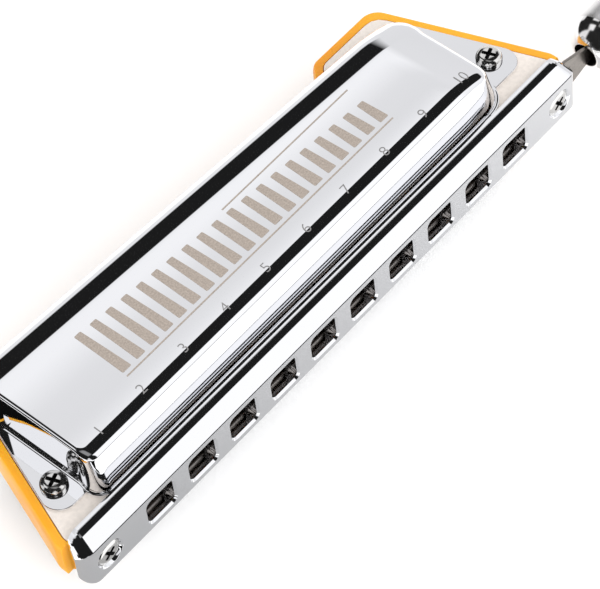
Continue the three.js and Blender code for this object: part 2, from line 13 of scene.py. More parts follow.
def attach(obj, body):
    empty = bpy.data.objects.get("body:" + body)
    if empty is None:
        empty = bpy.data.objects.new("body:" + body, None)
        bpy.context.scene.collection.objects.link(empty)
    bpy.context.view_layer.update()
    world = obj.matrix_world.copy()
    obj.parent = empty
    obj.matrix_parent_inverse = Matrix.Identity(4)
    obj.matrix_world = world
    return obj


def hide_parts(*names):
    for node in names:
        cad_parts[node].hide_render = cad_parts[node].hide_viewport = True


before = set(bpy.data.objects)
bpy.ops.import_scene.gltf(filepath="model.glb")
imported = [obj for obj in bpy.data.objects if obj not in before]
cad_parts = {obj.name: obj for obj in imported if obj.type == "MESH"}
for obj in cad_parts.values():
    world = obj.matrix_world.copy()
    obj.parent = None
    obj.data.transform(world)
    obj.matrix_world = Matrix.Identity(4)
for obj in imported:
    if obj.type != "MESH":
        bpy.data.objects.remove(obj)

log = logging.getLogger("harmonica")

# The maker's drawing is in millimetres: X along the mouthpiece from midway between holes 5 and 6,
# Y back from the mouthpiece's front face, Z up from mid thickness. The row frame is in metres,
# with its origin on the lower cover's crown.
MM = 0.001
DRAWING = Matrix.Translation((0.0, -18.9 * MM, 12.45 * MM)) @ Matrix.Scale(MM, 4)
HALF_LENGTH = 58.9
HOLE_PITCH = 9.4
HOLES = [(i - 4.5) * HOLE_PITCH for i in range(10)]
MOUTH_SCREW_X = 53.7
COVER_SCREW_X = 51.6
COVER_SCREW_Y = 12.8
SCREW_BORE = 1.15
FLANGE_TOP = 4.1
CROWN = 12.43
WALL_LEVELS = 27

Point = tuple[float, float]
Point3 = tuple[float, float, float]
Colour = tuple[float, float, float]


class Side(Enum):
    """Which face of the instrument a cover is on."""

    UPPER = 1
    LOWER = -1


class End(Enum):
    """Which end of the instrument a fastener is at."""

    LEFT = -1
    RIGHT = 1


class Wall(Enum):
    """The four walls that drop from a cover's crown."""

    FRONT = "front"
    BASS = "bass"
    TREBLE = "treble"
    BACK = "back"


# ---------- Finishes ----------


@dataclass(frozen=True)
class NodeSketch:
    """A material under construction: its tree, its surface shader and its Object coordinates."""

    material: bpy.types.Material

    @property
    def tree(self) -> bpy.types.NodeTree:
        """The material's node tree."""
        return self.material.node_tree

    @property
    def shader(self) -> bpy.types.ShaderNode:
        """The one Principled shader."""
        return self.tree.nodes["Principled BSDF"]

    def add(self, kind: str, **inputs: object) -> bpy.types.ShaderNode:
        """Adds a node and sets its sockets.

        Args:
            kind: the node's type name.
            **inputs: socket names, with _ for a space, and their values or output sockets to link.

        Returns:
            The new node.
        """
        node = self.tree.nodes.new(kind)
        for name, value in inputs.items():
            socket = node.inputs[name.replace("_", " ")]
            if isinstance(value, bpy.types.NodeSocket):
                self.tree.links.new(value, socket)
            else:
                socket.default_value = value
        return node

    def place(self, stretch: Point3 = (1.0, 1.0, 1.0)) -> bpy.types.NodeSocket:
        """Object coordinates, stretched.

        Args:
            stretch: the scale on each axis.

        Returns:
            The vector socket.
        """
        here = self.add("ShaderNodeTexCoord").outputs["Object"]
        return self.add("ShaderNodeMapping", Vector=here, Scale=stretch).outputs["Vector"]

    def noise(
        self, scale: float, detail: float = 3.0, stretch: Point3 = (1.0, 1.0, 1.0)
    ) -> bpy.types.NodeSocket:
        """A noise value over the piece.

        Args:
            scale: lumps in a metre.
            detail: octaves.
            stretch: the coordinates' scale on each axis.

        Returns:
            The value socket.
        """
        node = self.add("ShaderNodeTexNoise", Vector=self.place(stretch), Scale=scale, Detail=detail)
        return node.outputs[0]

    def ramp(self, value: bpy.types.NodeSocket, stops: list[tuple[float, Colour]]) -> bpy.types.NodeSocket:
        """Turns a value into a colour.

        Args:
            value: the value socket.
            stops: positions and colours.

        Returns:
            The colour socket.
        """
        node = self.add("ShaderNodeValToRGB", Fac=value)
        band = node.color_ramp
        while len(band.elements) < len(stops):
            band.elements.new(0.5)
        for element, (position, colour) in zip(band.elements, stops):
            element.position = position
            element.color = (*colour, 1.0)
        return node.outputs["Color"]

    def spread(self, value: bpy.types.NodeSocket, low: float, high: float) -> bpy.types.NodeSocket:
        """Maps a noise value from 0.3..0.7 to low..high.

        Args:
            value: the value socket.
            low: the result at 0.3.
            high: the result at 0.7.

        Returns:
            The value socket.
        """
        node = self.add("ShaderNodeMapRange", Value=value)
        for name, number in (("From Min", 0.3), ("From Max", 0.7), ("To Min", low), ("To Max", high)):
            node.inputs[name].default_value = number
        return node.outputs["Result"]

    def bump(self, height: bpy.types.NodeSocket, distance: float, strength: float = 1.0) -> None:
        """Links a height to the shader's normal.

        Args:
            height: the height socket.
            distance: metres of relief.
            strength: the bump's share.
        """
        node = self.add("ShaderNodeBump", Height=height, Distance=distance, Strength=strength)
        self.tree.links.new(node.outputs["Normal"], self.shader.inputs["Normal"])

    def link(self, name: str, socket: bpy.types.NodeSocket) -> None:
        """Links a socket to one of the shader's inputs."""
        self.tree.links.new(socket, self.shader.inputs[name])

    def set(self, **values: object) -> None:
        """Sets the shader's own sockets, with _ for a space."""
        for name, value in values.items():
            self.shader.inputs[name.replace("_", " ")].default_value = value


def sketch(name: str) -> NodeSketch:
    """Starts a material.

    Args:
        name: the finish's name.

    Returns:
        Its sketch, with an untouched Principled shader.
    """
    material = bpy.data.materials.new(name)
    material.use_nodes = True
    return NodeSketch(material)


@dataclass(frozen=True)
class Finish:
    """A metal or plastic finish. Subclasses say how it is made."""

    name: str

    def make(self) -> bpy.types.Material:
        """The material, made once and shared afterwards."""
        found = bpy.data.materials.get(self.name)
        if found:
            return found
        draft = sketch(self.name)
        self.dress(draft)
        return draft.material

    def dress(self, draft: NodeSketch) -> None:
        """Adds the finish's nodes; each kind of finish has its own."""
        raise NotImplementedError


@dataclass(frozen=True)
class Chrome(Finish):
    """Polished chrome plate with the faint haze of handling."""

    tint: Colour = (0.93, 0.935, 0.95)
    gloss: Point = (0.025, 0.05)

    def dress(self, draft: NodeSketch) -> None:
        """A mirror whose roughness drifts a little over the surface."""
        cloud = draft.noise(55.0, 4.0)
        draft.link("Roughness", draft.spread(cloud, *self.gloss))
        shade = [(0.3, tuple(0.975 * c for c in self.tint)), (0.7, self.tint)]
        draft.link("Base Color", draft.ramp(draft.noise(24.0, 2.0), shade))
        draft.set(Metallic=1.0)


@dataclass(frozen=True)
class Satin(Finish):
    """A ground or plated metal with fine marks along one axis."""

    tint: Colour = (0.6, 0.57, 0.53)
    gloss: Point = (0.25, 0.4)
    grain: Point3 = (1.0, 12.0, 12.0)
    relief: float = 4e-6
    metal: float = 1.0
    depth: float = 0.82

    def dress(self, draft: NodeSketch) -> None:
        """Streaked colour and roughness, with a shallow relief in the same streaks."""
        streaks = draft.noise(900.0, 5.0, self.grain)
        shade = [(0.35, tuple(self.depth * c for c in self.tint)), (0.65, self.tint)]
        draft.link("Base Color", draft.ramp(draft.noise(420.0, 3.0, self.grain), shade))
        draft.link("Roughness", draft.spread(streaks, *self.gloss))
        draft.bump(streaks, self.relief)
        draft.set(Metallic=self.metal)


@dataclass(frozen=True)
class OrangePlastic(Finish):
    """Moulded orange plastic, semi-gloss and a little translucent."""

    deep: Colour = (0.78, 0.28, 0.008)
    bright: Colour = (0.87, 0.40, 0.014)

    def dress(self, draft: NodeSketch) -> None:
        """Slow clouds of colour, a faint moulded texture and light that soaks in a little."""
        clouds = draft.noise(38.0, 2.0)
        draft.link("Base Color", draft.ramp(clouds, [(0.32, self.deep), (0.62, self.bright)]))
        draft.link("Roughness", draft.spread(draft.noise(160.0, 3.0), 0.3, 0.42))
        draft.bump(draft.noise(1500.0, 3.0), 8e-6)
        draft.set(Subsurface_Weight=0.25, Subsurface_Radius=(0.6, 0.25, 0.08), Subsurface_Scale=0.004)


@dataclass(frozen=True)
class Rubber(Finish):
    """Soft black rubber."""

    def dress(self, draft: NodeSketch) -> None:
        """A dark mottled matt surface."""
        draft.link("Base Color", draft.ramp(draft.noise(700.0), [(0.3, (0.012,) * 3), (0.7, (0.035,) * 3)]))
        draft.link("Roughness", draft.spread(draft.noise(900.0), 0.6, 0.85))
        draft.bump(draft.noise(2500.0), 1e-5)


@dataclass(frozen=True)
class Etching(Finish):
    """Matt etched metal, as the marks on a cover."""

    tint: Colour = (0.31, 0.28, 0.25)

    def dress(self, draft: NodeSketch) -> None:
        """A fine matt grain in the mark's own tone."""
        grain = draft.noise(3500.0, 2.0)
        shade = [(0.3, tuple(0.8 * c for c in self.tint)), (0.7, tuple(1.1 * c for c in self.tint))]
        draft.link("Base Color", draft.ramp(grain, shade))
        draft.link("Roughness", draft.spread(grain, 0.6, 0.8))
        draft.set(Metallic=0.0, Specular_IOR_Level=0.2)


CHROME = Chrome("polished_chrome")
BUTTON_CHROME = Chrome("button_chrome", tint=(0.90, 0.89, 0.88), gloss=(0.09, 0.14))
BUTTON_SATIN = Chrome("button_satin", tint=(0.86, 0.85, 0.84), gloss=(0.36, 0.46))
# Painted shade: a near-black finish on the mouthpiece's creases, the button's socket and the screws' cross
# recesses, where shade falls.
RECESS_SHADE = Satin("painted_recess_shade", tint=(0.05, 0.05, 0.05), gloss=(0.5, 0.6))
GROUND_STEEL = Satin("ground_steel", tint=(0.43, 0.395, 0.36))
PLATED_BRASS = Satin(
    "plated_brass", tint=(0.97, 0.89, 0.82), gloss=(0.35, 0.5), grain=(4.0, 4.0, 1.0), metal=0.3, depth=0.92
)
# Painted shade: the slide cage and backing plate are darkened near to black so that the mouthpiece's holes
# look shaded inside.
HOLE_SHADE_STEEL = Satin("steel_darkened_for_hole_shade", tint=(0.055, 0.045, 0.04), gloss=(0.2, 0.35))
REED_BRASS = Satin("reed_brass", tint=(0.78, 0.58, 0.25), grain=(12.0, 1.0, 12.0))
SCREW_STEEL = Chrome("screw_steel", tint=(0.80, 0.79, 0.77), gloss=(0.08, 0.18))
SPRING_WIRE = Satin("spring_wire", tint=(0.42, 0.42, 0.44), gloss=(0.2, 0.35))
ORANGE = OrangePlastic("orange_plastic")
RUBBER = Rubber("black_rubber")
ORNAMENT_ETCH = Etching("ornament_etching", tint=(0.36, 0.31, 0.27))
NUMERAL_ETCH = Etching("numeral_etching", tint=(0.22, 0.215, 0.215))


# ---------- Workshop ----------


def recalculate(bm: bmesh.types.BMesh) -> bmesh.types.BMesh:
    """Merges doubles and turns every face outwards.

    Args:
        bm: the mesh.

    Returns:
        The same mesh.
    """
    bmesh.ops.remove_doubles(bm, verts=bm.verts, dist=1e-4)
    bmesh.ops.recalc_face_normals(bm, faces=bm.faces)
    return bm


def prism(bm: bmesh.types.BMesh, outline: list[Point3], along: Point3) -> list[bmesh.types.BMVert]:
    """Draws an outline out into a closed solid.

    Args:
        bm: the mesh to add to.
        outline: the outline's points, in one plane.
        along: how far and which way it is drawn out.

    Returns:
        The vertices of the far end.
    """
    near = bm.faces.new([bm.verts.new(p) for p in outline])
    drawn = bmesh.ops.extrude_face_region(bm, geom=[near], use_keep_orig=True)
    far = [g for g in drawn["geom"] if isinstance(g, bmesh.types.BMVert)]
    bmesh.ops.translate(bm, verts=far, vec=along)
    bmesh.ops.recalc_face_normals(bm, faces=bm.faces)
    return far


def block(bm: bmesh.types.BMesh, low: Point3, high: Point3) -> None:
    """Adds a box between two corners."""
    size = [b - a for a, b in zip(low, high)]
    middle = Vector([(a + b) / 2 for a, b in zip(low, high)])
    bmesh.ops.create_cube(bm, size=1.0, matrix=Matrix.Translation(middle) @ Matrix.Diagonal((*size, 1.0)))


def absorb(bm: bmesh.types.BMesh, part: bmesh.types.BMesh) -> None:
    """Adds a part to a mesh and frees the part."""
    holder = bpy.data.meshes.new("holder")
    part.to_mesh(holder)
    part.free()
    bm.from_mesh(holder)
    bpy.data.meshes.remove(holder)


def soften(
    bm: bmesh.types.BMesh, edges: list[bmesh.types.BMEdge], offset: float, segments: int = 2
) -> None:
    """Rounds edges with a small bevel.

    Args:
        bm: the mesh.
        edges: the edges to round.
        offset: how far the bevel reaches from each edge.
        segments: the bevel's facets.
    """
    bmesh.ops.bevel(
        bm, geom=edges, offset=offset, offset_type="OFFSET", affect="EDGES", segments=segments, profile=0.5,
        material=-1, clamp_overlap=True,
    )


def sharp_edges(bm: bmesh.types.BMesh, angle: float) -> list[bmesh.types.BMEdge]:
    """The edges where two faces meet at more than an angle in radians."""
    return [e for e in bm.edges if len(e.link_faces) == 2 and e.calc_face_angle(0) > angle]


def drill(bm: bmesh.types.BMesh, place: Point3, radius: float, depth: float, segments: int = 32) -> None:
    """Adds an upright cylinder, the tool for a bore.

    Args:
        bm: the mesh to add to.
        place: the cylinder's middle.
        radius: its radius.
        depth: its height.
        segments: its facets.
    """
    bmesh.ops.create_cone(
        bm, cap_ends=True, segments=segments, radius1=radius, radius2=radius, depth=depth,
        matrix=Matrix.Translation(place),
    )


def rounded(corners: list[Point], radii: list[float], steps: int = 6) -> list[Point]:
    """Rounds the corners of an outline.

    Args:
        corners: the outline's corners.
        radii: each corner's radius.
        steps: points on a rounded corner.

    Returns:
        The rounded outline's points.
    """
    points: list[Point] = []
    for i, (corner, radius) in enumerate(zip(corners, radii)):
        here = Vector(corner)
        back = Vector(corners[i - 1]) - here
        ahead = Vector(corners[(i + 1) % len(corners)]) - here
        if radius <= 0:
            points.append(tuple(here))
            continue
        half = back.angle(ahead) / 2
        reach = min(radius / math.tan(half), 0.49 * back.length, 0.49 * ahead.length)
        true = reach * math.tan(half)
        centre = here + (back.normalized() + ahead.normalized()).normalized() * (true / math.sin(half))
        start, end = here + back.normalized() * reach - centre, here + ahead.normalized() * reach - centre
        turn = start.angle_signed(end)
        for k in range(steps + 1):
            spoke = start.copy()
            spoke.rotate(Matrix.Rotation(-turn * k / steps, 2))
            points.append(tuple(centre + spoke))
    return points


def turned(bm: bmesh.types.BMesh, profile: list[Point], steps: int, place: Matrix) -> None:
    """Spins a profile of radius and height about Z, then puts it in place.

    Args:
        bm: the mesh to add to.
        profile: radius and height of each point, from the axis round to the axis.
        steps: facets of the turn.
        place: where the turned piece goes.
    """
    wire = [bm.verts.new((radius, 0.0, height)) for radius, height in profile]
    edges = [bm.edges.new(pair) for pair in zip(wire, wire[1:])]
    bmesh.ops.spin(
        bm, geom=wire + edges, cent=(0, 0, 0), axis=(0, 0, 1), angle=2 * math.pi, steps=steps,
        use_merge=True,
    )
    recalculate(bm)
    bmesh.ops.transform(bm, matrix=place, verts=bm.verts)
    if place.determinant() < 0:
        bmesh.ops.reverse_faces(bm, faces=bm.faces)


def arc(centre: Point, radius: float, start: float, end: float, steps: int) -> list[Point]:
    """Points on an arc, with angles in degrees.

    Args:
        centre: the arc's centre.
        radius: its radius.
        start: the first angle.
        end: the last angle.
        steps: the number of chords.

    Returns:
        steps + 1 points.
    """
    turns = [math.radians(start + (end - start) * k / steps) for k in range(steps + 1)]
    return [(centre[0] + radius * math.cos(a), centre[1] + radius * math.sin(a)) for a in turns]


def carve(bm: bmesh.types.BMesh, *tools: bmesh.types.BMesh) -> bmesh.types.BMesh:
    """Cuts tools out of a solid, one after another.

    Args:
        bm: the solid.
        *tools: the solids to take away.

    Returns:
        A new mesh of what is left.
    """
    work = bare_object("work", bm)
    for tool in tools:
        cutter = bare_object("cutter", tool)
        cutting = work.modifiers.new("cut", "BOOLEAN")
        cutting.operation, cutting.solver, cutting.object = "DIFFERENCE", "EXACT", cutter
        cutting.use_self = True
        result = bpy.data.meshes.new_from_object(work.evaluated_get(bpy.context.evaluated_depsgraph_get()))
        work.modifiers.clear()
        old = work.data
        work.data = result
        bpy.data.meshes.remove(old)
        old = cutter.data
        bpy.data.objects.remove(cutter)
        bpy.data.meshes.remove(old)
    left = bmesh.new()
    left.from_mesh(work.data)
    old = work.data
    bpy.data.objects.remove(work)
    bpy.data.meshes.remove(old)
    bmesh.ops.remove_doubles(left, verts=left.verts, dist=1e-4)
    return left


def bare_object(name: str, bm: bmesh.types.BMesh) -> bpy.types.Object:
    """Puts a mesh in the scene with no finish yet, and frees the bmesh.

    Args:
        name: the object's name.
        bm: the mesh.

    Returns:
        The object.
    """
    mesh = bpy.data.meshes.new(name)
    bm.to_mesh(mesh)
    bm.free()
    thing = bpy.data.objects.new(name, mesh)
    bpy.context.scene.collection.objects.link(thing)
    bpy.context.view_layer.update()
    return thing


def piece(
    name: str,
    bm: bmesh.types.BMesh,
    finishes: list[Finish],
    nodes: list[str],
    body: str = "body",
    crease: float = 35.0,
    in_drawing: bool = True,
) -> bpy.types.Object:
    """Finishes a mesh as one named piece that rides on a body and stands for its CAD nodes.

    Args:
        name: the piece's name.
        bm: its mesh, in the drawing's millimetres.
        finishes: its finishes, in the order of its faces' material numbers.
        nodes: the CAD nodes it stands for.
        body: the body it rides on.
        crease: the angle in degrees from which an edge stays sharp.
        in_drawing: whether the mesh is in the drawing's frame rather than the row's.

    Returns:
        The object.
    """
    if in_drawing:
        bmesh.ops.transform(bm, matrix=DRAWING, verts=bm.verts)
    thing = bare_object(name, bm)
    thing.data.polygons.foreach_set("use_smooth", [True] * len(thing.data.polygons))
    thing.data.set_sharp_from_angle(angle=math.radians(crease))
    for finish in finishes:
        thing.data.materials.append(finish.make())
    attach(thing, body)
    if nodes:
        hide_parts(*nodes)
    log.info("%s: %d faces on %s", name, len(thing.data.polygons), body)
    return thing


def even_normals(thing: bpy.types.Object) -> None:
    """Keeps flat faces flat where they meet small bevels."""
    weighted = thing.modifiers.new("even_normals", "WEIGHTED_NORMAL")
    weighted.keep_sharp = True
    weighted.weight = 80


@dataclass(frozen=True)
class Refined:
    """A piece made from a copy of its CAD node: merged, cleaned and with its edges eased."""

    node: str
    name: str
    finish: Finish
    slot: str
    body: str = "body"
    ease: float = 0.06
    crease: float = 35.0

    def build(self) -> bpy.types.Object:
        """The refined piece, in the row frame's metres as its node is."""
        bm = bmesh.new()
        bm.from_mesh(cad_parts[self.node].data)
        bmesh.ops.remove_doubles(bm, verts=bm.verts, dist=2e-7)
        bmesh.ops.dissolve_limit(
            bm, angle_limit=math.radians(1.0), use_dissolve_boundaries=False, verts=bm.verts, edges=bm.edges
        )
        if self.ease > 0:
            soften(bm, sharp_edges(bm, math.radians(40)), self.ease * MM)
        thing = piece(
            self.name, bm, [self.finish], [self.node], self.body, self.crease, in_drawing=False
        )
        even_normals(thing)
        return thing


# ---------- Covers ----------


@dataclass
class Cover:
    """A pressed cover: a flat crown, walls that drop from its edges, a front lip and two flat ears."""

    side: Side
    sheet: float = 0.5
    front: float = 9.15
    bass_end: float = -47.8
    treble_end: float = 43.8
    back_middle: float = 31.7
    back_slope: float = -5.4 / 97.6
    back_reach: float = 7.0
    front_corner: float = 1.0
    back_corner: float = 1.6
    dish: float = 1.7
    treble_run: float = 6.5
    treble_slope: float = 17.0
    back_lip: float = 8.45
    opening: float = 41.3
    wall_tilt: dict[Wall, float] = field(
        default_factory=lambda: {Wall.FRONT: 79.5, Wall.BASS: 89.5, Wall.TREBLE: 76.0, Wall.BACK: 64.0}
    )

    def back(self, x: float) -> float:
        """The crown's back edge at x."""
        return self.back_middle + self.back_slope * x - self.back_reach

    def height(self, x: float, y: float) -> float:
        """The crown's height, a little dished, and falling away at the treble end.

        Args:
            x: along the instrument.
            y: back from the mouthpiece.

        Returns:
            The height in the drawing.
        """
        half = (self.back(x) - self.front) / 2
        across = (y - self.front - half) / half
        fall = max(0.0, x - (self.treble_end - self.treble_run)) / self.treble_run
        slope = math.tan(math.radians(self.treble_slope))
        return (
            CROWN
            - across * across * half * math.tan(math.radians(self.dish)) / 2
            - fall * fall * self.treble_run * slope / 2
        )

    def lines(
        self, low: float, high: float, near: list[float], far: list[float], pitch: float
    ) -> list[float]:
        """Grid lines that crowd at both edges.

        Args:
            low: the first line.
            high: the last line.
            near: distances from the first.
            far: distances from the last.
            pitch: the spacing between.

        Returns:
            The lines in order.
        """
        start, end = low + near[-1], high - far[-1]
        count = max(2, round((end - start) / pitch))
        middle = [start + (end - start) * k / count for k in range(1, count)]
        return [low + d for d in near] + middle + [high - d for d in reversed(far)]

    def plan(self, x: float, t: float) -> tuple[Vector, Vector]:
        """Rounds the crown's corners.

        Args:
            x: the grid line's place along the instrument.
            t: the distance back from the front edge in a crown of even depth.

        Returns:
            The rounded place in plan, and the outward direction there.
        """
        depth = self.even_depth
        at_front = t < depth / 2
        radius = self.front_corner if at_front else self.back_corner
        inner_x = min(max(x, self.bass_end + radius), self.treble_end - radius)
        inner_t = min(max(t, radius), depth - radius)
        a, b = (x - inner_x) / radius, (t - inner_t) / radius
        if a and b:
            a, b = a * math.sqrt(1 - b * b / 2), b * math.sqrt(1 - a * a / 2)
        place = Vector((inner_x + a * radius, inner_t + b * radius))
        out = Vector((a, b))
        if not out.length:
            out = Vector((0.0, -1.0 if at_front else 1.0))
        return place, out.normalized()

    @property
    def even_depth(self) -> float:
        """The crown's depth at its middle."""
        return self.back(0.0) - self.front

    def to_drawing(self, place: Vector) -> Vector:
        """Stretches the even crown's plan to the real one, deeper at the bass end."""
        share = place.y / self.even_depth
        return Vector((place.x, self.front + share * (self.back(place.x) - self.front)))

    def profile(self, wall: Wall, drop: float) -> list[Point]:
        """A wall's section: a soft shoulder, a turn, the wall, and a fillet to the flange.

        Args:
            wall: which wall.
            drop: the height from the crown's edge to the flange.

        Returns:
            Distance out and height down at each of the same number of levels.
        """
        shoulder, turn, fillet, lip = {
            Wall.FRONT: ((1.75, 3.0, 24.0), 1.15, 0.35, 0.2),
            Wall.BASS: ((0.5, 3.0, 17.0), 0.4, 0.6, 0.0),
            Wall.TREBLE: ((1.0, self.treble_slope, 30.0), 2.6, 0.7, 0.0),
            Wall.BACK: ((4.1, 6.0, 25.0), 5.6, 0.3, 0.0),
        }[wall]
        tilt = math.radians(self.wall_tilt[wall])
        points: list[Point] = [(0.0, 0.0)]

        def bend(radius: float, start: float, end: float, steps: int) -> None:
            """Adds an arc from one tilt to another; a radius below zero hollows."""
            for k in range(steps):
                a, b = start + (end - start) * k / steps, start + (end - start) * (k + 1) / steps
                out, down = points[-1]
                step_out, step_down = math.sin(b) - math.sin(a), math.cos(a) - math.cos(b)
                points.append((out + radius * step_out, down + radius * step_down))

        run, soft, firm = shoulder
        soft, firm = math.radians(soft), math.radians(firm)
        bend(run / (math.sin(firm) - math.sin(soft)), soft, firm, 8)
        bend(turn, firm, tilt, 8)
        out, down = points[-1]
        foot = drop - fillet * (1 - math.cos(tilt))
        lip_down = max(0.0, CROWN - self.back_lip - (CROWN - FLANGE_TOP - drop))
        if wall is Wall.BACK:
            # below its lip the back stands almost upright
            lip_down = max(lip_down, down + 0.05)
            points.append((out + (lip_down - down) / math.tan(tilt), lip_down))
            out, down, tilt = *points[-1], math.radians(87.0)
            shares = (1 / 3, 2 / 3, 1.0)
        else:
            shares = (0.25, 0.5, 0.75, 1.0)
        for share in shares:
            level = down + (foot - down) * share
            points.append((out + (level - down) / math.tan(tilt), level))
        bend(-fillet, tilt, 0.0, 6)
        out, down = points[-1]
        points.append((out + lip, drop))
        return points

    def shell(self) -> bmesh.types.BMesh:
        """The crown and walls as one sheet, still without thickness."""
        close = [0.0, 0.12, 0.25, 0.38, 0.5, 0.75, 1.05, 1.6]
        xs = self.lines(self.bass_end, self.treble_end, close, close, 1.5)
        ts = self.lines(0.0, self.even_depth, close[:7], [0.0, 0.35, 0.7, 1.05, 1.35, 1.6], 0.9)
        # the opening's two ends fall on grid lines
        for edge in (-self.opening, self.opening):
            nearest = min(range(len(xs)), key=lambda i: abs(xs[i] - edge))
            xs[nearest] = edge
        bm = bmesh.new()
        bmesh.ops.create_grid(bm, x_segments=len(xs) - 1, y_segments=len(ts) - 1, size=1.0)
        rim: dict[tuple[float, float, float], tuple[Vector, Vector, float]] = {}
        edge_lines = {0, len(xs) - 1}, {0, len(ts) - 1}
        for vert in bm.verts:
            i = round((vert.co.x + 1) / 2 * (len(xs) - 1))
            j = round((vert.co.y + 1) / 2 * (len(ts) - 1))
            place, out = self.plan(xs[i], ts[j])
            flat = self.to_drawing(place)
            vert.co = (flat.x, flat.y, self.height(flat.x, flat.y))
            if i in edge_lines[0] or j in edge_lines[1]:
                rim[self.key(vert.co)] = (flat, out, vert.co.z)
        for level in range(1, WALL_LEVELS + 1):
            edges = [e for e in bm.edges if e.is_boundary]
            grown = bmesh.ops.extrude_edge_only(bm, edges=edges)["geom"]
            moved: dict[tuple[float, float, float], tuple[Vector, Vector, float]] = {}
            for vert in (g for g in grown if isinstance(g, bmesh.types.BMVert)):
                flat, out, top = rim[self.key(vert.co)]
                vert.co = self.on_wall(flat, out, top, level)
                moved[self.key(vert.co)] = (flat, out, top)
            rim = moved
        recalculate(bm)
        if bm.faces[0].normal.z < 0:
            bmesh.ops.reverse_faces(bm, faces=bm.faces)
        return bm

    @staticmethod
    def key(place: Vector) -> tuple[float, float, float]:
        """A place as a dictionary key."""
        return round(place.x, 4), round(place.y, 4), round(place.z, 4)

    def on_wall(self, flat: Vector, out: Vector, top: float, level: int) -> Vector:
        """Where a point of the crown's edge goes at a level of the walls.

        Args:
            flat: the edge point in plan.
            out: its outward direction.
            top: its height.
            level: the profile's level.

        Returns:
            The place in the drawing.
        """
        drop = top - FLANGE_TOP
        long_wall = Wall.FRONT if out.y < 0 else Wall.BACK
        end_wall = Wall.BASS if out.x < 0 else Wall.TREBLE
        share = out.y * out.y
        a, b = self.profile(long_wall, drop)[level], self.profile(end_wall, drop)[level]
        reach, down = a[0] * share + b[0] * (1 - share), a[1] * share + b[1] * (1 - share)
        return Vector((flat.x + out.x * reach, flat.y + out.y * reach, top - down))

    def open_back(self, bm: bmesh.types.BMesh) -> None:
        """Takes away the back wall below its lip."""
        gone = []
        for face in bm.faces:
            middle = face.calc_center_median()
            behind = middle.y > self.back(middle.x) + 3.5
            if behind and abs(middle.x) < self.opening and middle.z < self.back_lip - 0.05:
                gone.append(face)
        bmesh.ops.delete(bm, geom=gone, context="FACES")

    def ears(self) -> bmesh.types.BMesh:
        """The two flat ears, each with a rounded outer front corner and a screw hole."""
        bm = bmesh.new()
        outlines = {
            End.RIGHT: (
                [(47.6, 8.1), (56.4, 8.1), (49.3, 28.2), (43.6, 28.2), (47.4, 22.0)], [0, 4.6, 1.5, 0, 0]
            ),
            End.LEFT: (
                [(-47.4, 26.5), (-44.2, 32.9), (-47.7, 32.9), (-56.4, 8.1), (-47.6, 8.1)], [0, 0, 1.0, 4.6, 0]
            ),
        }
        for end, (corners, radii) in outlines.items():
            tool = bmesh.new()
            drill(tool, (end.value * COVER_SCREW_X, COVER_SCREW_Y, FLANGE_TOP), SCREW_BORE, 4.0)
            ear = bmesh.new()
            lower = FLANGE_TOP - self.sheet + 0.01
            outline = [(x, y, lower) for x, y in rounded(corners, radii, 10)]
            prism(ear, outline, (0.0, 0.0, self.sheet - 0.02))
            ear = carve(ear, tool)
            level = [e for e in sharp_edges(ear, 0.9) if abs(e.verts[0].co.z - e.verts[1].co.z) < 1e-3]
            soften(ear, level, 0.09)
            absorb(bm, ear)
        return bm

    def build(self) -> None:
        """Builds the cover's shell and ears, mirrored for the lower side."""
        shell = self.shell()
        self.open_back(shell)
        bmesh.ops.solidify(shell, geom=shell.faces[:], thickness=self.sheet)
        ears = self.ears()
        if self.side is Side.LOWER:
            for bm in (shell, ears):
                bmesh.ops.scale(bm, vec=(1, 1, -1), verts=bm.verts)
                bmesh.ops.reverse_faces(bm, faces=bm.faces)
        name = self.side.name.lower()
        piece(f"{name}_cover_shell", shell, [CHROME], [f"{name}_cover"], crease=40.0)
        even_normals(piece(f"{name}_cover_ears", ears, [CHROME], [], crease=60.0))


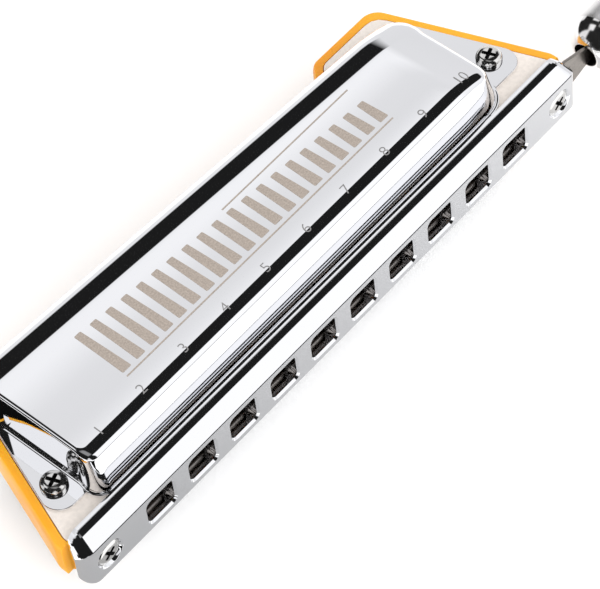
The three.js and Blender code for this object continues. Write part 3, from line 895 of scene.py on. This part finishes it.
@dataclass
class Marks:
    """The marks etched on the upper cover: hole numbers and a row of bars like a set of reeds."""

    cover: Cover
    numeral_y: float = 9.45
    numeral_shift: float = -1.4
    numeral_height: float = 1.9
    lift: float = 0.01
    bars: int = 20
    bars_from: float = -33.0
    bars_to: float = 27.0
    bars_base: float = 13.6
    bass_bar: float = 10.4
    treble_bar: float = 5.2
    rule_y: float = 23.2
    rule_width: float = 0.28

    def surface(self, x: float, y: float) -> float:
        """The cover's height under a mark, on the crown or on the front shoulder."""
        if y >= self.cover.front:
            return self.cover.height(x, y)
        top = self.cover.height(x, self.cover.front)
        levels = self.cover.profile(Wall.FRONT, top - FLANGE_TOP)
        reach = self.cover.front - y
        for (a, da), (b, db) in zip(levels, levels[1:]):
            if a <= reach <= b:
                return top - da - (db - da) * (reach - a) / (b - a)
        return top - levels[-1][1]

    def drape(self, bm: bmesh.types.BMesh) -> bmesh.types.BMesh:
        """Lays flat marks on the cover, a hair above its surface."""
        for _ in range(2):
            long = [e for e in bm.edges if e.calc_length() > 0.5]
            if long:
                bmesh.ops.subdivide_edges(bm, edges=long, cuts=2, use_grid_fill=False)
        bmesh.ops.triangulate(bm, faces=bm.faces)
        for vert in bm.verts:
            vert.co.z = self.surface(vert.co.x, vert.co.y) + self.lift
        for face in bm.faces:
            if face.normal.z < 0:
                face.normal_flip()
        return bm

    def numerals(self) -> bmesh.types.BMesh:
        """The numbers 1 to 10, one at each hole."""
        bm = bmesh.new()
        for number, x in enumerate(HOLES, start=1):
            curve = bpy.data.curves.new("numeral", "FONT")
            curve.body = str(number)
            curve.size = self.numeral_height / 0.7
            curve.align_x = "CENTER"
            curve.align_y = "CENTER"
            curve.offset = -0.025
            thing = bpy.data.objects.new("numeral", curve)
            bpy.context.scene.collection.objects.link(thing)
            bpy.context.view_layer.update()
            mesh = bpy.data.meshes.new_from_object(thing)
            mesh.transform(Matrix.Translation((x + self.numeral_shift, self.numeral_y, 0.0)))
            bm.from_mesh(mesh)
            bpy.data.objects.remove(thing)
            bpy.data.meshes.remove(mesh)
        return bm

    def ornament(self) -> bmesh.types.BMesh:
        """Twenty tapered bars, longest at the bass end, with a thin rule above the shorter ones."""
        bm = bmesh.new()
        pitch = (self.bars_to - self.bars_from) / (self.bars - 1)
        for i in range(self.bars):
            x = self.bars_from + i * pitch
            tall = self.bass_bar + (self.treble_bar - self.bass_bar) * i / (self.bars - 1)
            foot, tip = 0.30 * pitch, 0.22 * pitch
            corners = [(x - foot, self.bars_base), (x + foot, self.bars_base),
                       (x + tip, self.bars_base + tall), (x - tip, self.bars_base + tall)]
            outline = rounded(corners, [0.2] * 4, 3)
            bm.faces.new([bm.verts.new((px, py, 0.0)) for px, py in outline])
        for start, y in ((-2.0, self.rule_y - 1.2), (-34.0, self.bars_base - 1.0)):
            end, top = 28.0, y + self.rule_width
            corners = [(start, y), (end, y), (end, top), (start, top)]
            bm.faces.new([bm.verts.new((px, py, 0.0)) for px, py in corners])
        return bm

    def build(self) -> None:
        """Etches the numerals and the ornament."""
        piece("hole_numerals", self.drape(self.numerals()), [NUMERAL_ETCH], [])
        piece("cover_ornament", self.drape(self.ornament()), [ORNAMENT_ETCH], [])


# ---------- Mouthpiece ----------


@dataclass
class Mouthpiece:
    """The rolled mouthpiece with ten holes, two dished screw seats and the slide's channel behind."""

    depth: float = 4.4
    flat: float = 7.8
    height: float = 11.0
    half_length: float = 58.75
    end_taper: float = 12.0
    plan_round: float = 2.4
    roll_round: float = 2.1
    wall: float = 2.2
    hole_width: float = 5.8
    hole_height: float = 5.2
    hole_corner: float = 0.9
    lip: float = 0.35
    channel_half: float = 55.2
    channel_height: float = 8.2
    dish_radius: float = 2.75
    dish_depth: float = 1.0

    def roll(self) -> list[Point]:
        """The upper roll from the front crease to the back edge, as Y and Z."""
        points = [(0.0, self.flat / 2)]
        tilts = [(0.1, 45.0)] + [(0.25, 29.0 - 0.25 * k) for k in range(9)]
        tilts += [(0.13, 26.5 - 3.0 * k) for k in range(8)] + [(0.2, 3.2 - 0.6 * k) for k in range(5)]
        for run, tilt in tilts:
            y, z = points[-1]
            points.append((y + run, z + run * math.tan(math.radians(tilt))))
        scale_y = self.depth / points[-1][0]
        rise = points[-1][1] - self.flat / 2
        scale_z = (self.height - self.flat) / 2 / rise
        return [(y * scale_y, self.flat / 2 + (z - self.flat / 2) * scale_z) for y, z in points]

    def bar(self) -> bmesh.types.BMesh:
        """The solid bar with tapered, rounded ends."""
        upper = self.roll()
        section = upper + [(y, -z) for y, z in reversed(upper)]
        lean = math.tan(math.radians(self.end_taper))
        near = [0.0, 0.02, 0.07, 0.15, 0.26, 0.4, 0.58, 0.8, 1.06, 1.37, 1.75, 2.08, 2.4]
        stations = [(-1, d) for d in near] + [(1, d) for d in reversed(near)]

        def ring(end: int, distance: float) -> list[Point3]:
            """The section at a distance from an end, drawn in where the end is rounded."""
            drawn_in = [
                r - math.sqrt(r * r - max(0.0, r - distance) ** 2) for r in (self.plan_round, self.roll_round)
            ]
            return [
                (
                    end * (self.half_length - distance - y * lean),
                    y + drawn_in[0] * (1 - y / self.depth),
                    z * (1 - 2 * drawn_in[1] / self.height),
                )
                for y, z in section
            ]

        bm = bmesh.new()
        face = bm.faces.new([bm.verts.new(p) for p in ring(*stations[0])])
        for i, station in enumerate(stations[1:]):
            drawn = bmesh.ops.extrude_face_region(bm, geom=[face], use_keep_orig=i == 0)
            face = next(g for g in drawn["geom"] if isinstance(g, bmesh.types.BMFace))
            moves = list(zip(ring(*stations[i]), ring(*station)))
            for vert in face.verts:
                here = vert.co.copy()
                vert.co = min(moves, key=lambda move: (Vector(move[0]) - here).length_squared)[1]
        return recalculate(bm)

    def hole_tools(self) -> bmesh.types.BMesh:
        """The ten holes' tools, each flared at the mouth so that the hole has a rounded lip."""
        bm = bmesh.new()
        flare = [(-0.4, self.lip + 0.02)]
        flare += [(self.lip * math.sin(a), self.lip * (1 - math.cos(math.pi / 2 - a)))
                  for a in [math.radians(15 * k) for k in range(0, 7)]]
        flare += [(self.wall + 1.0, 0.0)]
        for x in HOLES:
            rings = []
            for y, grow in flare:
                w, h = self.hole_width / 2 + grow, self.hole_height / 2 + grow
                radius = self.hole_corner + grow
                points = rounded([(-w, -h), (w, -h), (w, h), (-w, h)], [radius] * 4, 5)
                rings.append([bm.verts.new((x + px, y, pz)) for px, pz in points])
            loops = [[bm.edges.new((ring[i - 1], ring[i])) for i in range(len(ring))] for ring in rings]
            for near, far in zip(loops, loops[1:]):
                bmesh.ops.bridge_loops(bm, edges=near + far)
            bm.faces.new(rings[0])
            bm.faces.new(rings[-1])
        bmesh.ops.recalc_face_normals(bm, faces=bm.faces)
        return bm

    def dish_tools(self) -> bmesh.types.BMesh:
        """The tools for the two dished screw seats with their clearance holes."""
        bm = bmesh.new()
        for x in (-MOUTH_SCREW_X, MOUTH_SCREW_X):
            one = bmesh.new()
            rim = self.dish_radius
            profile = [(0.0, 0.5), (rim + 0.05, 0.5), (rim + 0.03, 0.02), (rim - 0.06, -0.03)]
            profile += [(rim - 0.2, -0.15), (rim - 0.35, -0.5), (rim - 0.55, -0.85)]
            profile += [(rim - 0.9, -self.dish_depth), (1.05, -self.dish_depth), (1.05, -3.4), (0.0, -3.4)]
            # the tool's axis points forwards, out of the front face
            turned(one, profile, 48, Matrix.Translation((x, 0, 0)) @ Matrix.Rotation(math.pi / 2, 4, "X"))
            absorb(bm, one)
        return bm

    def build(self) -> None:
        """Builds the mouthpiece; the thin crease above the holes is painted with dark shade so that it reads
        as a dark line.
        """
        channel = bmesh.new()
        half = self.channel_height / 2
        block(channel, (-self.channel_half, self.wall, -half), (self.channel_half, self.depth + 1, half))
        slide_way = bmesh.new()
        block(slide_way, (self.channel_half - 1, 2.6, -3.75), (HALF_LENGTH + 1, 3.3, 3.75))
        bm = carve(self.bar(), channel, slide_way, self.hole_tools(), self.dish_tools())
        # Painted shade: the bevel faces along the front creases take the near-black shade finish.
        crease = self.flat / 2
        for face in bm.faces:
            middle = face.calc_center_median()
            on_crease = abs(abs(middle.z) - crease) < 0.12 and middle.y < 0.13 and abs(face.normal.y) > 0.4
            if on_crease and abs(face.normal.z) > 0.3:
                face.material_index = 1
        thing = piece("mouthpiece_shell", bm, [CHROME, RECESS_SHADE], ["mouthpiece"], crease=28.0)
        even_normals(thing)


# ---------- Comb ----------


@dataclass
class Comb:
    """The moulded comb: a bulged body with raised rims round two plate pockets, and forty chambers."""

    depth: float = 35.6
    half: float = 3.6
    core: float = 2.6
    front_x: float = 59.2
    shoulder_y: float = 5.9
    taper: float = 19.4
    ear_width: float = 14.8
    recess: float = 6.8
    bulge: float = 0.5
    bulge_rise: float = 2.0
    rim: float = 1.2
    bass_end: float = 26.7
    treble_end: float = 20.2
    spring_post: Point3 = (48.3, 14.5, 0.67)

    def outline(self, inward: float) -> list[Point]:
        """The comb's outline, moved inwards.

        Args:
            inward: how far in.

        Returns:
            The rounded outline's points.
        """
        lean = math.tan(math.radians(self.taper))
        back_x = self.front_x - (self.depth - self.shoulder_y) * lean
        recess_x = back_x - self.ear_width
        right = [(self.front_x, 2.7), (self.front_x, self.shoulder_y), (back_x, self.depth),
                 (recess_x, self.depth), (recess_x - self.recess, self.depth - self.recess)]
        corners = right + [(-x, y) for x, y in reversed(right)]
        moved: list[Point] = []
        for i, corner in enumerate(corners):
            here = Vector(corner)
            a = (here - Vector(corners[i - 1])).normalized()
            b = (Vector(corners[(i + 1) % len(corners)]) - here).normalized()
            across, next_across = Vector((-a.y, a.x)), Vector((-b.y, b.x))
            moved.append(tuple(here + (across + next_across) * (inward / (1 + across.dot(next_across)))))
        radii = [0.0, 2.4, 3.6, 2.0, 2.0]
        return rounded(moved, radii + radii[::-1], 8)

    def body(self) -> bmesh.types.BMesh:
        """The bulged body and the tongue that enters the mouthpiece."""
        bm = bmesh.new()
        waist = self.half - self.bulge_rise
        prism(bm, [(x, y, -waist) for x, y in self.outline(0.0)], (0.0, 0.0, 2 * waist))
        steps = 8
        for up in (1, -1):
            cap = max(bm.faces, key=lambda f: up * f.calc_center_median().z * (1 + (len(f.verts) > 8)))
            for k in range(steps):
                a, b = (math.pi / 2 * q / steps for q in (k, k + 1))
                inward = self.bulge * (math.cos(a) - math.cos(b))
                rise = self.bulge_rise * (math.sin(b) - math.sin(a))
                bmesh.ops.inset_region(bm, faces=[cap], thickness=inward, use_even_offset=True)
                bmesh.ops.translate(bm, verts=cap.verts, vec=(0.0, 0.0, up * rise))
        halves = bmesh.ops.bisect_plane(
            bm, geom=bm.verts[:] + bm.edges[:] + bm.faces[:], plane_co=(0, 4.45, 0), plane_no=(0, -1, 0),
            clear_outer=True,
        )
        cut_edges = [g for g in halves["geom_cut"] if isinstance(g, bmesh.types.BMEdge)]
        bmesh.ops.contextual_create(bm, geom=cut_edges)
        return recalculate(bm)

    def chambers(self) -> bmesh.types.BMesh:
        """The tool for the forty reed chambers."""
        bm = bmesh.new()
        for i, x in enumerate(HOLES):
            for k, side in enumerate((-1, 1)):
                end = self.bass_end + (self.treble_end - self.bass_end) * (2 * i + k) / 19
                middle = x + side * HOLE_PITCH / 4
                for low, high in ((0.5, self.core + 1), (-self.core - 1, -0.5)):
                    block(bm, (middle - 1.35, 2.7, low), (middle + 1.35, end, high))
        return bm

    def pocket(self, up: int) -> bmesh.types.BMesh:
        """The tool for a reed plate's pocket, above or below."""
        bm = bmesh.new()
        base = up * self.core
        prism(bm, [(x, y, base) for x, y in self.outline(self.bulge + self.rim)], (0.0, 0.0, up * 2.0))
        return bm

    def build(self) -> None:
        """Builds the comb and eases the rims' edges."""
        wells = bmesh.new()
        for end in End:
            drill(wells, (end.value * COVER_SCREW_X, COVER_SCREW_Y, 0), SCREW_BORE, 8.0, 24)
        drill(wells, self.spring_post, 1.65, 4.0)
        bm = carve(self.body(), self.pocket(1), self.pocket(-1), self.chambers(), wells)
        rim = [
            e for e in sharp_edges(bm, 0.7) if all(abs(abs(v.co.z) - self.half) < 1e-3 for v in e.verts)
        ]
        soften(bm, rim, 0.12, 3)
        thing = piece("comb_moulding", bm, [ORANGE], ["comb"], crease=30.0)
        even_normals(thing)


# ---------- Button and screws ----------


@dataclass
class Button:
    """The turned button on the slide's neck, with a rounded nose and a socket painted dark for the shade
    inside it.
    """

    x: float = 64.15
    y: float = 2.95
    radius: float = 5.3
    mouth: float = 2.35
    bore: float = 2.15
    socket: float = 5.9
    barrel: float = 5.2
    crown: float = 1.4

    def build(self) -> None:
        """Turns the button about the slide's axis."""
        mouth_angle = math.degrees(math.asin(self.mouth / self.radius))
        centre = math.cos(math.radians(mouth_angle)) * self.radius
        end = centre + self.barrel + self.crown
        profile: list[Point] = [(0.0, self.socket), (self.bore - 0.3, self.socket)]
        profile += [(self.bore, self.socket - 0.3), (self.bore, 0.5)]
        profile += [(self.bore + 0.03, 0.2), (self.bore + 0.1, 0.06)]
        profile += arc((0.0, centre), self.radius, -90 + mouth_angle + 2, 0, 24)
        profile += [(self.radius, centre + self.barrel * k / 3) for k in (1, 2, 3)]
        profile += arc((self.radius - 1.2, centre + self.barrel), 1.2, 12, 78, 8)
        profile += [(3.4, end - 0.12), (2.4, end), (1.2, end), (0.0, end)]
        bm = bmesh.new()
        place = Matrix.Translation((self.x, self.y, 0)) @ Matrix.Rotation(math.pi / 2, 4, "Y")
        turned(bm, profile, 96, place)
        # Painted shade: the socket's bore takes the near-black shade finish.
        for face in bm.faces:
            middle = face.calc_center_median()
            in_bore = math.hypot(middle.y - self.y, middle.z) < self.bore + 0.02
            if in_bore and middle.x < self.x + self.socket + 0.01:
                face.material_index = 1
            elif middle.x > self.x + centre - 0.9:
                face.material_index = 2
        piece("slide_button", bm, [BUTTON_CHROME, RECESS_SHADE, BUTTON_SATIN], ["button"], "slide", 50.0)


@dataclass
class PanScrew:
    """A pan-headed machine screw with a cross recess."""

    name: str
    node: str
    place: Matrix
    radius: float
    head: float
    head_height: float
    length: float

    def recess(self) -> bmesh.types.BMesh:
        """The tool for the cross recess, four tapering arms round a small core."""
        bm = bmesh.new()
        top, floor = self.head_height + 0.3, self.head_height - 0.7
        for turn in (0.0, math.pi / 2):
            one = bmesh.new()
            reach = 0.62 * self.head
            arm = rounded([(-reach, -0.36), (reach, -0.36), (reach, 0.36), (-reach, 0.36)], [0.2] * 4, 3)
            far = prism(one, [(x, y, top) for x, y in arm], (0.0, 0.0, floor - top))
            bmesh.ops.scale(one, vec=(0.62, 0.7, 1.0), verts=far)
            bmesh.ops.rotate(one, matrix=Matrix.Rotation(turn, 3, "Z"), verts=one.verts)
            absorb(bm, one)
        return bm

    def build(self) -> None:
        """Turns the screw, cuts its recess and seats it."""
        h, r = self.head_height, self.head
        profile: list[Point] = [(0.0, -self.length), (self.radius - 0.25, -self.length)]
        profile += [(self.radius, -self.length + 0.25), (self.radius, 0.0), (r - 0.08, 0.0), (r, 0.08)]
        profile += [(r, 0.35 * h), (0.97 * r, 0.55 * h), (0.9 * r, 0.73 * h), (0.8 * r, 0.87 * h)]
        profile += [(0.66 * r, 0.96 * h), (0.5 * r, h), (0.0, h)]
        bm = bmesh.new()
        turned(bm, profile, 48, Matrix.Identity(4))
        bm = carve(bm, self.recess())
        # Painted shade: the cross recess's walls take the near-black shade finish.
        for face in bm.faces:
            middle = face.calc_center_median()
            if math.hypot(middle.x, middle.y) < 0.64 * r and h - 0.75 < middle.z < h - 0.07:
                face.material_index = 1
        bmesh.ops.transform(bm, matrix=self.place, verts=bm.verts)
        thing = piece(self.name, bm, [SCREW_STEEL, RECESS_SHADE], [self.node], crease=38.0)
        even_normals(thing)


@dataclass
class Nut:
    """A hexagonal nut under the lower cover."""

    end: End
    across: float = 3.8
    height: float = 1.3

    def build(self) -> None:
        """Draws out the hexagon, eases its outer corners and bores it."""
        bm = bmesh.new()
        x = self.end.value * COVER_SCREW_X
        spokes = [math.radians(30 + 60 * k) for k in range(6)]
        corner = self.across / 2 / math.cos(math.radians(30))
        outline = [(corner * math.cos(a), corner * math.sin(a)) for a in spokes]
        seat = [(x + px, COVER_SCREW_Y + py, -FLANGE_TOP) for px, py in outline]
        prism(bm, seat, (0.0, 0.0, -self.height))
        outer = [e for e in bm.edges if all(v.co.z < -FLANGE_TOP - self.height + 0.01 for v in e.verts)]
        soften(bm, outer, 0.18, 3)
        bore = bmesh.new()
        drill(bore, (x, COVER_SCREW_Y, -FLANGE_TOP), SCREW_BORE, 6.0)
        node = f"{self.end.name.lower()}_cover_nut"
        piece(f"{node}_hexagon", carve(bm, bore), [SCREW_STEEL], [node], crease=30.0)


@dataclass
class Fasteners:
    """Two mouthpiece screws, two cover screws and their nuts."""

    def build(self) -> None:
        """Builds them end by end."""
        for end in End:
            name = end.name.lower()
            forward = Matrix.Rotation(math.pi / 2, 4, "X") @ Matrix.Rotation(math.radians(38), 4, "Z")
            PanScrew(
                f"{name}_mouthpiece_pan_screw", f"{name}_mouthpiece_screw",
                Matrix.Translation((end.value * MOUTH_SCREW_X, 1.0, 0)) @ forward, 1.0, 2.3, 0.9, 10.4,
            ).build()
            PanScrew(
                f"{name}_cover_pan_screw", f"{name}_cover_screw",
                Matrix.Translation((end.value * COVER_SCREW_X, COVER_SCREW_Y, FLANGE_TOP))
                @ Matrix.Rotation(math.radians(20), 4, "Z"),
                1.1, 2.2, 1.35, 9.4,
            ).build()
            Nut(end).build()


# ---------- Sheet parts, springs and reeds ----------


@dataclass
class Action:
    """The reed plates, the reeds, the slide and its guides, the bumpers and the return spring."""

    parts: list[Refined] = field(default_factory=lambda: [
        Refined("upper_reed_plate", "upper_reed_plate_sheet", PLATED_BRASS, "reed_plate", ease=0.05),
        Refined("lower_reed_plate", "lower_reed_plate_sheet", PLATED_BRASS, "reed_plate", ease=0.05),
        Refined("slide_cage", "slide_cage_sheet", HOLE_SHADE_STEEL, "slide_steel", ease=0.03),
        Refined("slide_backing_plate", "slide_backing_sheet", HOLE_SHADE_STEEL, "slide_steel", ease=0.03),
        Refined("slide", "slide_blade", GROUND_STEEL, "slide_steel", "slide", ease=0.05),
        Refined("left_slide_bumper", "left_bumper_ring", RUBBER, "bumper", ease=0.1),
        Refined("right_slide_bumper", "right_bumper_ring", RUBBER, "bumper", ease=0.1),
        Refined("return_spring_coil", "spring_coil", SPRING_WIRE, "spring", ease=0.0, crease=60.0),
        Refined(
            "return_spring_leg", "spring_leg_wire", SPRING_WIRE, "spring", "spring_leg", ease=0.0, crease=60.0
        ),
    ])

    def build(self) -> None:
        """Refines the sheet parts and wires, and dresses the reeds' CAD nodes."""
        for part in self.parts:
            part.build()
        brass = REED_BRASS.make()
        for name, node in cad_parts.items():
            if "_reed_" in name and not name.endswith("_plate"):
                node.data.materials.clear()
                node.data.materials.append(brass)


# ---------- Studio ----------


@dataclass
class Studio:
    """A pale floor, soft light all round, dark flags that only a mirror sees, and the camera."""

    camera_at: Point3 = (-0.2019, -0.2280, 0.41915)
    forward: Point3 = (0.3998, 0.4326, -0.8081)
    up: Point3 = (0.6445, 0.4941, 0.5835)
    lens: float = 193.66
    floor_half: float = 3.0
    fill: float = 1.08

    def floor(self) -> None:
        """A plain pale floor with a faint unevenness of tone."""
        bm = bmesh.new()
        bmesh.ops.create_grid(bm, x_segments=8, y_segments=8, size=self.floor_half)
        slab = bare_object("floor", bm)
        draft = sketch("pale_floor")
        tones = [(0.3, (0.96, 0.96, 0.96)), (0.7, (0.985, 0.985, 0.985))]
        draft.link("Base Color", draft.ramp(draft.noise(6.0), tones))
        draft.set(Roughness=0.9, Specular_IOR_Level=0.1)
        slab.data.materials.append(draft.material)

    @staticmethod
    def show_to_mirrors(card: bpy.types.Object) -> None:
        """Hides a card from everything but mirrors."""
        card.visible_camera = card.visible_diffuse = card.visible_shadow = card.visible_transmission = False

    def flag(self, name: str, outline: list[Point], height: float) -> None:
        """A dark card that shows only in reflections.

        Args:
            name: the card's name.
            outline: its outline in plan, in metres.
            height: how high it lies.
        """
        bm = bmesh.new()
        prism(bm, [(x, y, height) for x, y in outline], (0.0, 0.0, 0.0003))
        card = bare_object(name, bm)
        draft = sketch(name)
        draft.set(Base_Color=(0.004, 0.004, 0.004, 1.0), Roughness=1.0, Specular_IOR_Level=0.0)
        card.data.materials.append(draft.material)
        self.show_to_mirrors(card)

    def board(self, name: str, low: Point3, high: Point3, greys: tuple[float, float, float]) -> None:
        """A grey board on the floor, paler to the right, that only mirrors see; the front and end boards are
        painted floor shade for the chrome to reflect.

        Args:
            name: the board's name.
            low: its lowest corner, in metres.
            high: its highest corner.
            greys: its tones at the left end, a quarter of the way along and at the right end.
        """
        bm = bmesh.new()
        block(bm, low, high)
        board = bare_object(name, bm)
        draft = sketch(name)
        split = draft.add("ShaderNodeSeparateXYZ", Vector=draft.place())
        share = draft.add("ShaderNodeMapRange", Value=split.outputs["X"])
        share.inputs["From Min"].default_value, share.inputs["From Max"].default_value = -0.06, 0.08
        tones = [(at, (grey, grey, 1.01 * grey)) for at, grey in zip((0.0, 0.25, 1.0), greys)]
        draft.link("Base Color", draft.ramp(share.outputs["Result"], tones))
        draft.set(Roughness=1.0, Specular_IOR_Level=0.0)
        board.data.materials.append(draft.material)
        self.show_to_mirrors(board)

    def world(self) -> None:
        """Even light for matt surfaces, and for mirrors a tent of white panels with dark gaps."""
        world = bpy.data.worlds.new("tent")
        bpy.context.scene.world = world
        world.use_nodes = True
        tree = world.node_tree
        tree.nodes.clear()

        def node(kind: str, **inputs: object) -> bpy.types.Node:
            """Adds a node; i0, i1 ... are its sockets by number."""
            new = tree.nodes.new(kind)
            for key, value in inputs.items():
                if key == "operation":
                    new.operation = value
                elif isinstance(value, bpy.types.NodeSocket):
                    tree.links.new(value, new.inputs[int(key[1:])])
                else:
                    new.inputs[int(key[1:])].default_value = value
            return new

        def panels(value: bpy.types.NodeSocket, stops: list[tuple[float, float]]) -> bpy.types.NodeSocket:
            """Greys by angle in degrees from the back horizon."""
            new = node("ShaderNodeValToRGB", i0=value)
            band = new.color_ramp
            while len(band.elements) < len(stops):
                band.elements.new(0.5)
            for element, (degrees, grey) in zip(band.elements, stops):
                element.position = degrees / 180.0
                element.color = (grey, grey, grey * 1.02, 1.0)
            return new.outputs[0]

        def step(value: bpy.types.NodeSocket, low: float, high: float) -> bpy.types.NodeSocket:
            """Runs from 0 at low to 1 at high."""
            new = node("ShaderNodeMapRange", i0=value, i1=low, i2=high, i3=0.0, i4=1.0)
            return new.outputs[0]

        def mix(share: bpy.types.NodeSocket, a: object, b: object) -> bpy.types.NodeSocket:
            """Mixes two colours."""
            new = tree.nodes.new("ShaderNodeMix")
            new.data_type = "RGBA"
            tree.links.new(share, new.inputs[0])
            for socket, value in ((new.inputs[6], a), (new.inputs[7], b)):
                if isinstance(value, bpy.types.NodeSocket):
                    tree.links.new(value, socket)
                else:
                    socket.default_value = (*value, 1.0)
            return new.outputs[2]

        direction = node("ShaderNodeTexCoord").outputs["Generated"]
        split = node("ShaderNodeSeparateXYZ", i0=direction)
        x, y, z = split.outputs[0], split.outputs[1], split.outputs[2]
        angle = node("ShaderNodeMath", operation="ARCTAN2", i0=z, i1=y).outputs[0]
        turn = node("ShaderNodeMath", operation="DIVIDE", i0=angle, i1=math.pi).outputs[0]
        gap = 0.012
        along = panels(turn, [
            (0, 0.84), (11, 0.84), (13, gap), (44, gap), (46, 0.90), (57, 0.97), (60, 0.80), (63, 0.78),
            (65, 0.95), (66.5, 0.97), (67.5, gap), (107, gap), (109, 1.08), (166, 1.08), (172, 0.5),
            (180, 0.4),
        ])
        beyond = panels(turn, [(0, 0.80), (40, 0.78), (57, 0.80), (66, 0.82), (67.5, gap), (107, gap),
                               (109, 1.0), (180, 0.9)])
        left = panels(turn, [(0, gap), (42, gap), (50, 0.9), (64, 0.97), (66, 0.9), (70, gap), (180, gap)])
        depth = node("ShaderNodeMath", operation="ABSOLUTE", i0=y).outputs[0]
        far_left = mix(step(depth, 0.50, 0.58), (gap, gap, gap), (0.84, 0.84, 0.86))
        overhead = panels(turn, [(0, gap), (74, gap), (79, 0.28), (101, 0.28), (106, gap), (180, gap)])
        sideways = (0.80, 0.80, 0.82)
        glossy = mix(step(x, 0.84, 0.89), mix(step(x, 0.52, 0.60), along, beyond), sideways)
        shade = mix(step(x, 0.10, 0.16), overhead, glossy)
        edge = mix(step(x, -0.50, -0.42), far_left, mix(step(x, -0.16, -0.10), left, shade))
        ray = node("ShaderNodeLightPath")
        seen = mix(ray.outputs["Is Glossy Ray"], (self.fill, self.fill, self.fill), edge)
        background = node("ShaderNodeBackground", i0=seen, i1=1.0)
        output = tree.nodes.new("ShaderNodeOutputWorld")
        tree.links.new(background.outputs[0], output.inputs[0])

    def lamp(self, name: str, place: Point3, power: float, size: float) -> None:
        """A soft panel aimed at the instrument, unseen in its mirrors.

        Args:
            name: the lamp's name.
            place: where it hangs, in metres.
            power: watts.
            size: its side, in metres.
        """
        light = bpy.data.lights.new(name, "AREA")
        light.energy, light.size = power, size
        thing = bpy.data.objects.new(name, light)
        thing.location = place
        thing.rotation_euler = (Vector((0, 0, 0.01)) - Vector(place)).to_track_quat("-Z", "Y").to_euler()
        thing.visible_glossy = False
        bpy.context.scene.collection.objects.link(thing)

    def camera(self) -> None:
        """The camera, looking down from the bass end's front."""
        lens = bpy.data.cameras.new("camera")
        lens.lens, lens.sensor_width, lens.sensor_fit = self.lens, 36.0, "HORIZONTAL"
        lens.clip_start, lens.clip_end = 0.01, 20.0
        thing = bpy.data.objects.new("camera", lens)
        back, up = -Vector(self.forward).normalized(), Vector(self.up)
        right = up.cross(back).normalized()
        up = back.cross(right)
        turn = Matrix((right, up, back)).transposed().to_4x4()
        thing.matrix_world = Matrix.Translation(self.camera_at) @ turn
        bpy.context.scene.collection.objects.link(thing)
        bpy.context.scene.camera = thing

    def build(self) -> None:
        """Sets the whole studio up."""
        self.camera()
        self.floor()
        self.world()
        self.lamp("front_panel", (-0.25, -0.75, 0.75), 7.0, 0.9)
        # Painted shade: the front and end boards give the chrome the grey of the shaded floor near the
        # instrument.
        self.board("front_floor_shade_board", (-0.070, -0.0305, 0.0004), (0.100, -0.0175, 0.0008), (0.36, 0.46, 0.68))
        self.board("end_floor_shade_board", (-0.082, -0.0172, 0.0004), (-0.0600, 0.012, 0.0008), (0.36, 0.46, 0.68))
        self.board("back_board", (-0.20, 0.019, 0.0004), (0.30, 0.90, 0.0008), (0.84, 0.85, 0.86))
        rim = [(-0.0740, -0.0109), (-0.0570, -0.0109), (-0.0474, 0.0165), (-0.0640, 0.0165)]
        self.flag("rim_flag", rim, 0.0162)
        corner = [(-0.13, -0.10), (-0.060, -0.10), (-0.060, -0.031), (-0.13, -0.031)]
        self.flag("front_left_flag", corner, 0.0005)
        bpy.context.scene.view_settings.view_transform = "Standard"


def main() -> None:
    """Builds the harmonica's pieces in order and logs each as it is built."""
    logging.basicConfig(level=logging.INFO, format="%(name)s: %(message)s")
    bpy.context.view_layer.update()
    Studio().build()
    upper = Cover(Side.UPPER)
    covers = (upper, Cover(Side.LOWER), Marks(upper))
    for part in (*covers, Mouthpiece(), Comb(), Button(), Fasteners(), Action()):
        part.build()
        log.info("built %s", type(part).__name__)


if __name__ == "__main__":
    main()
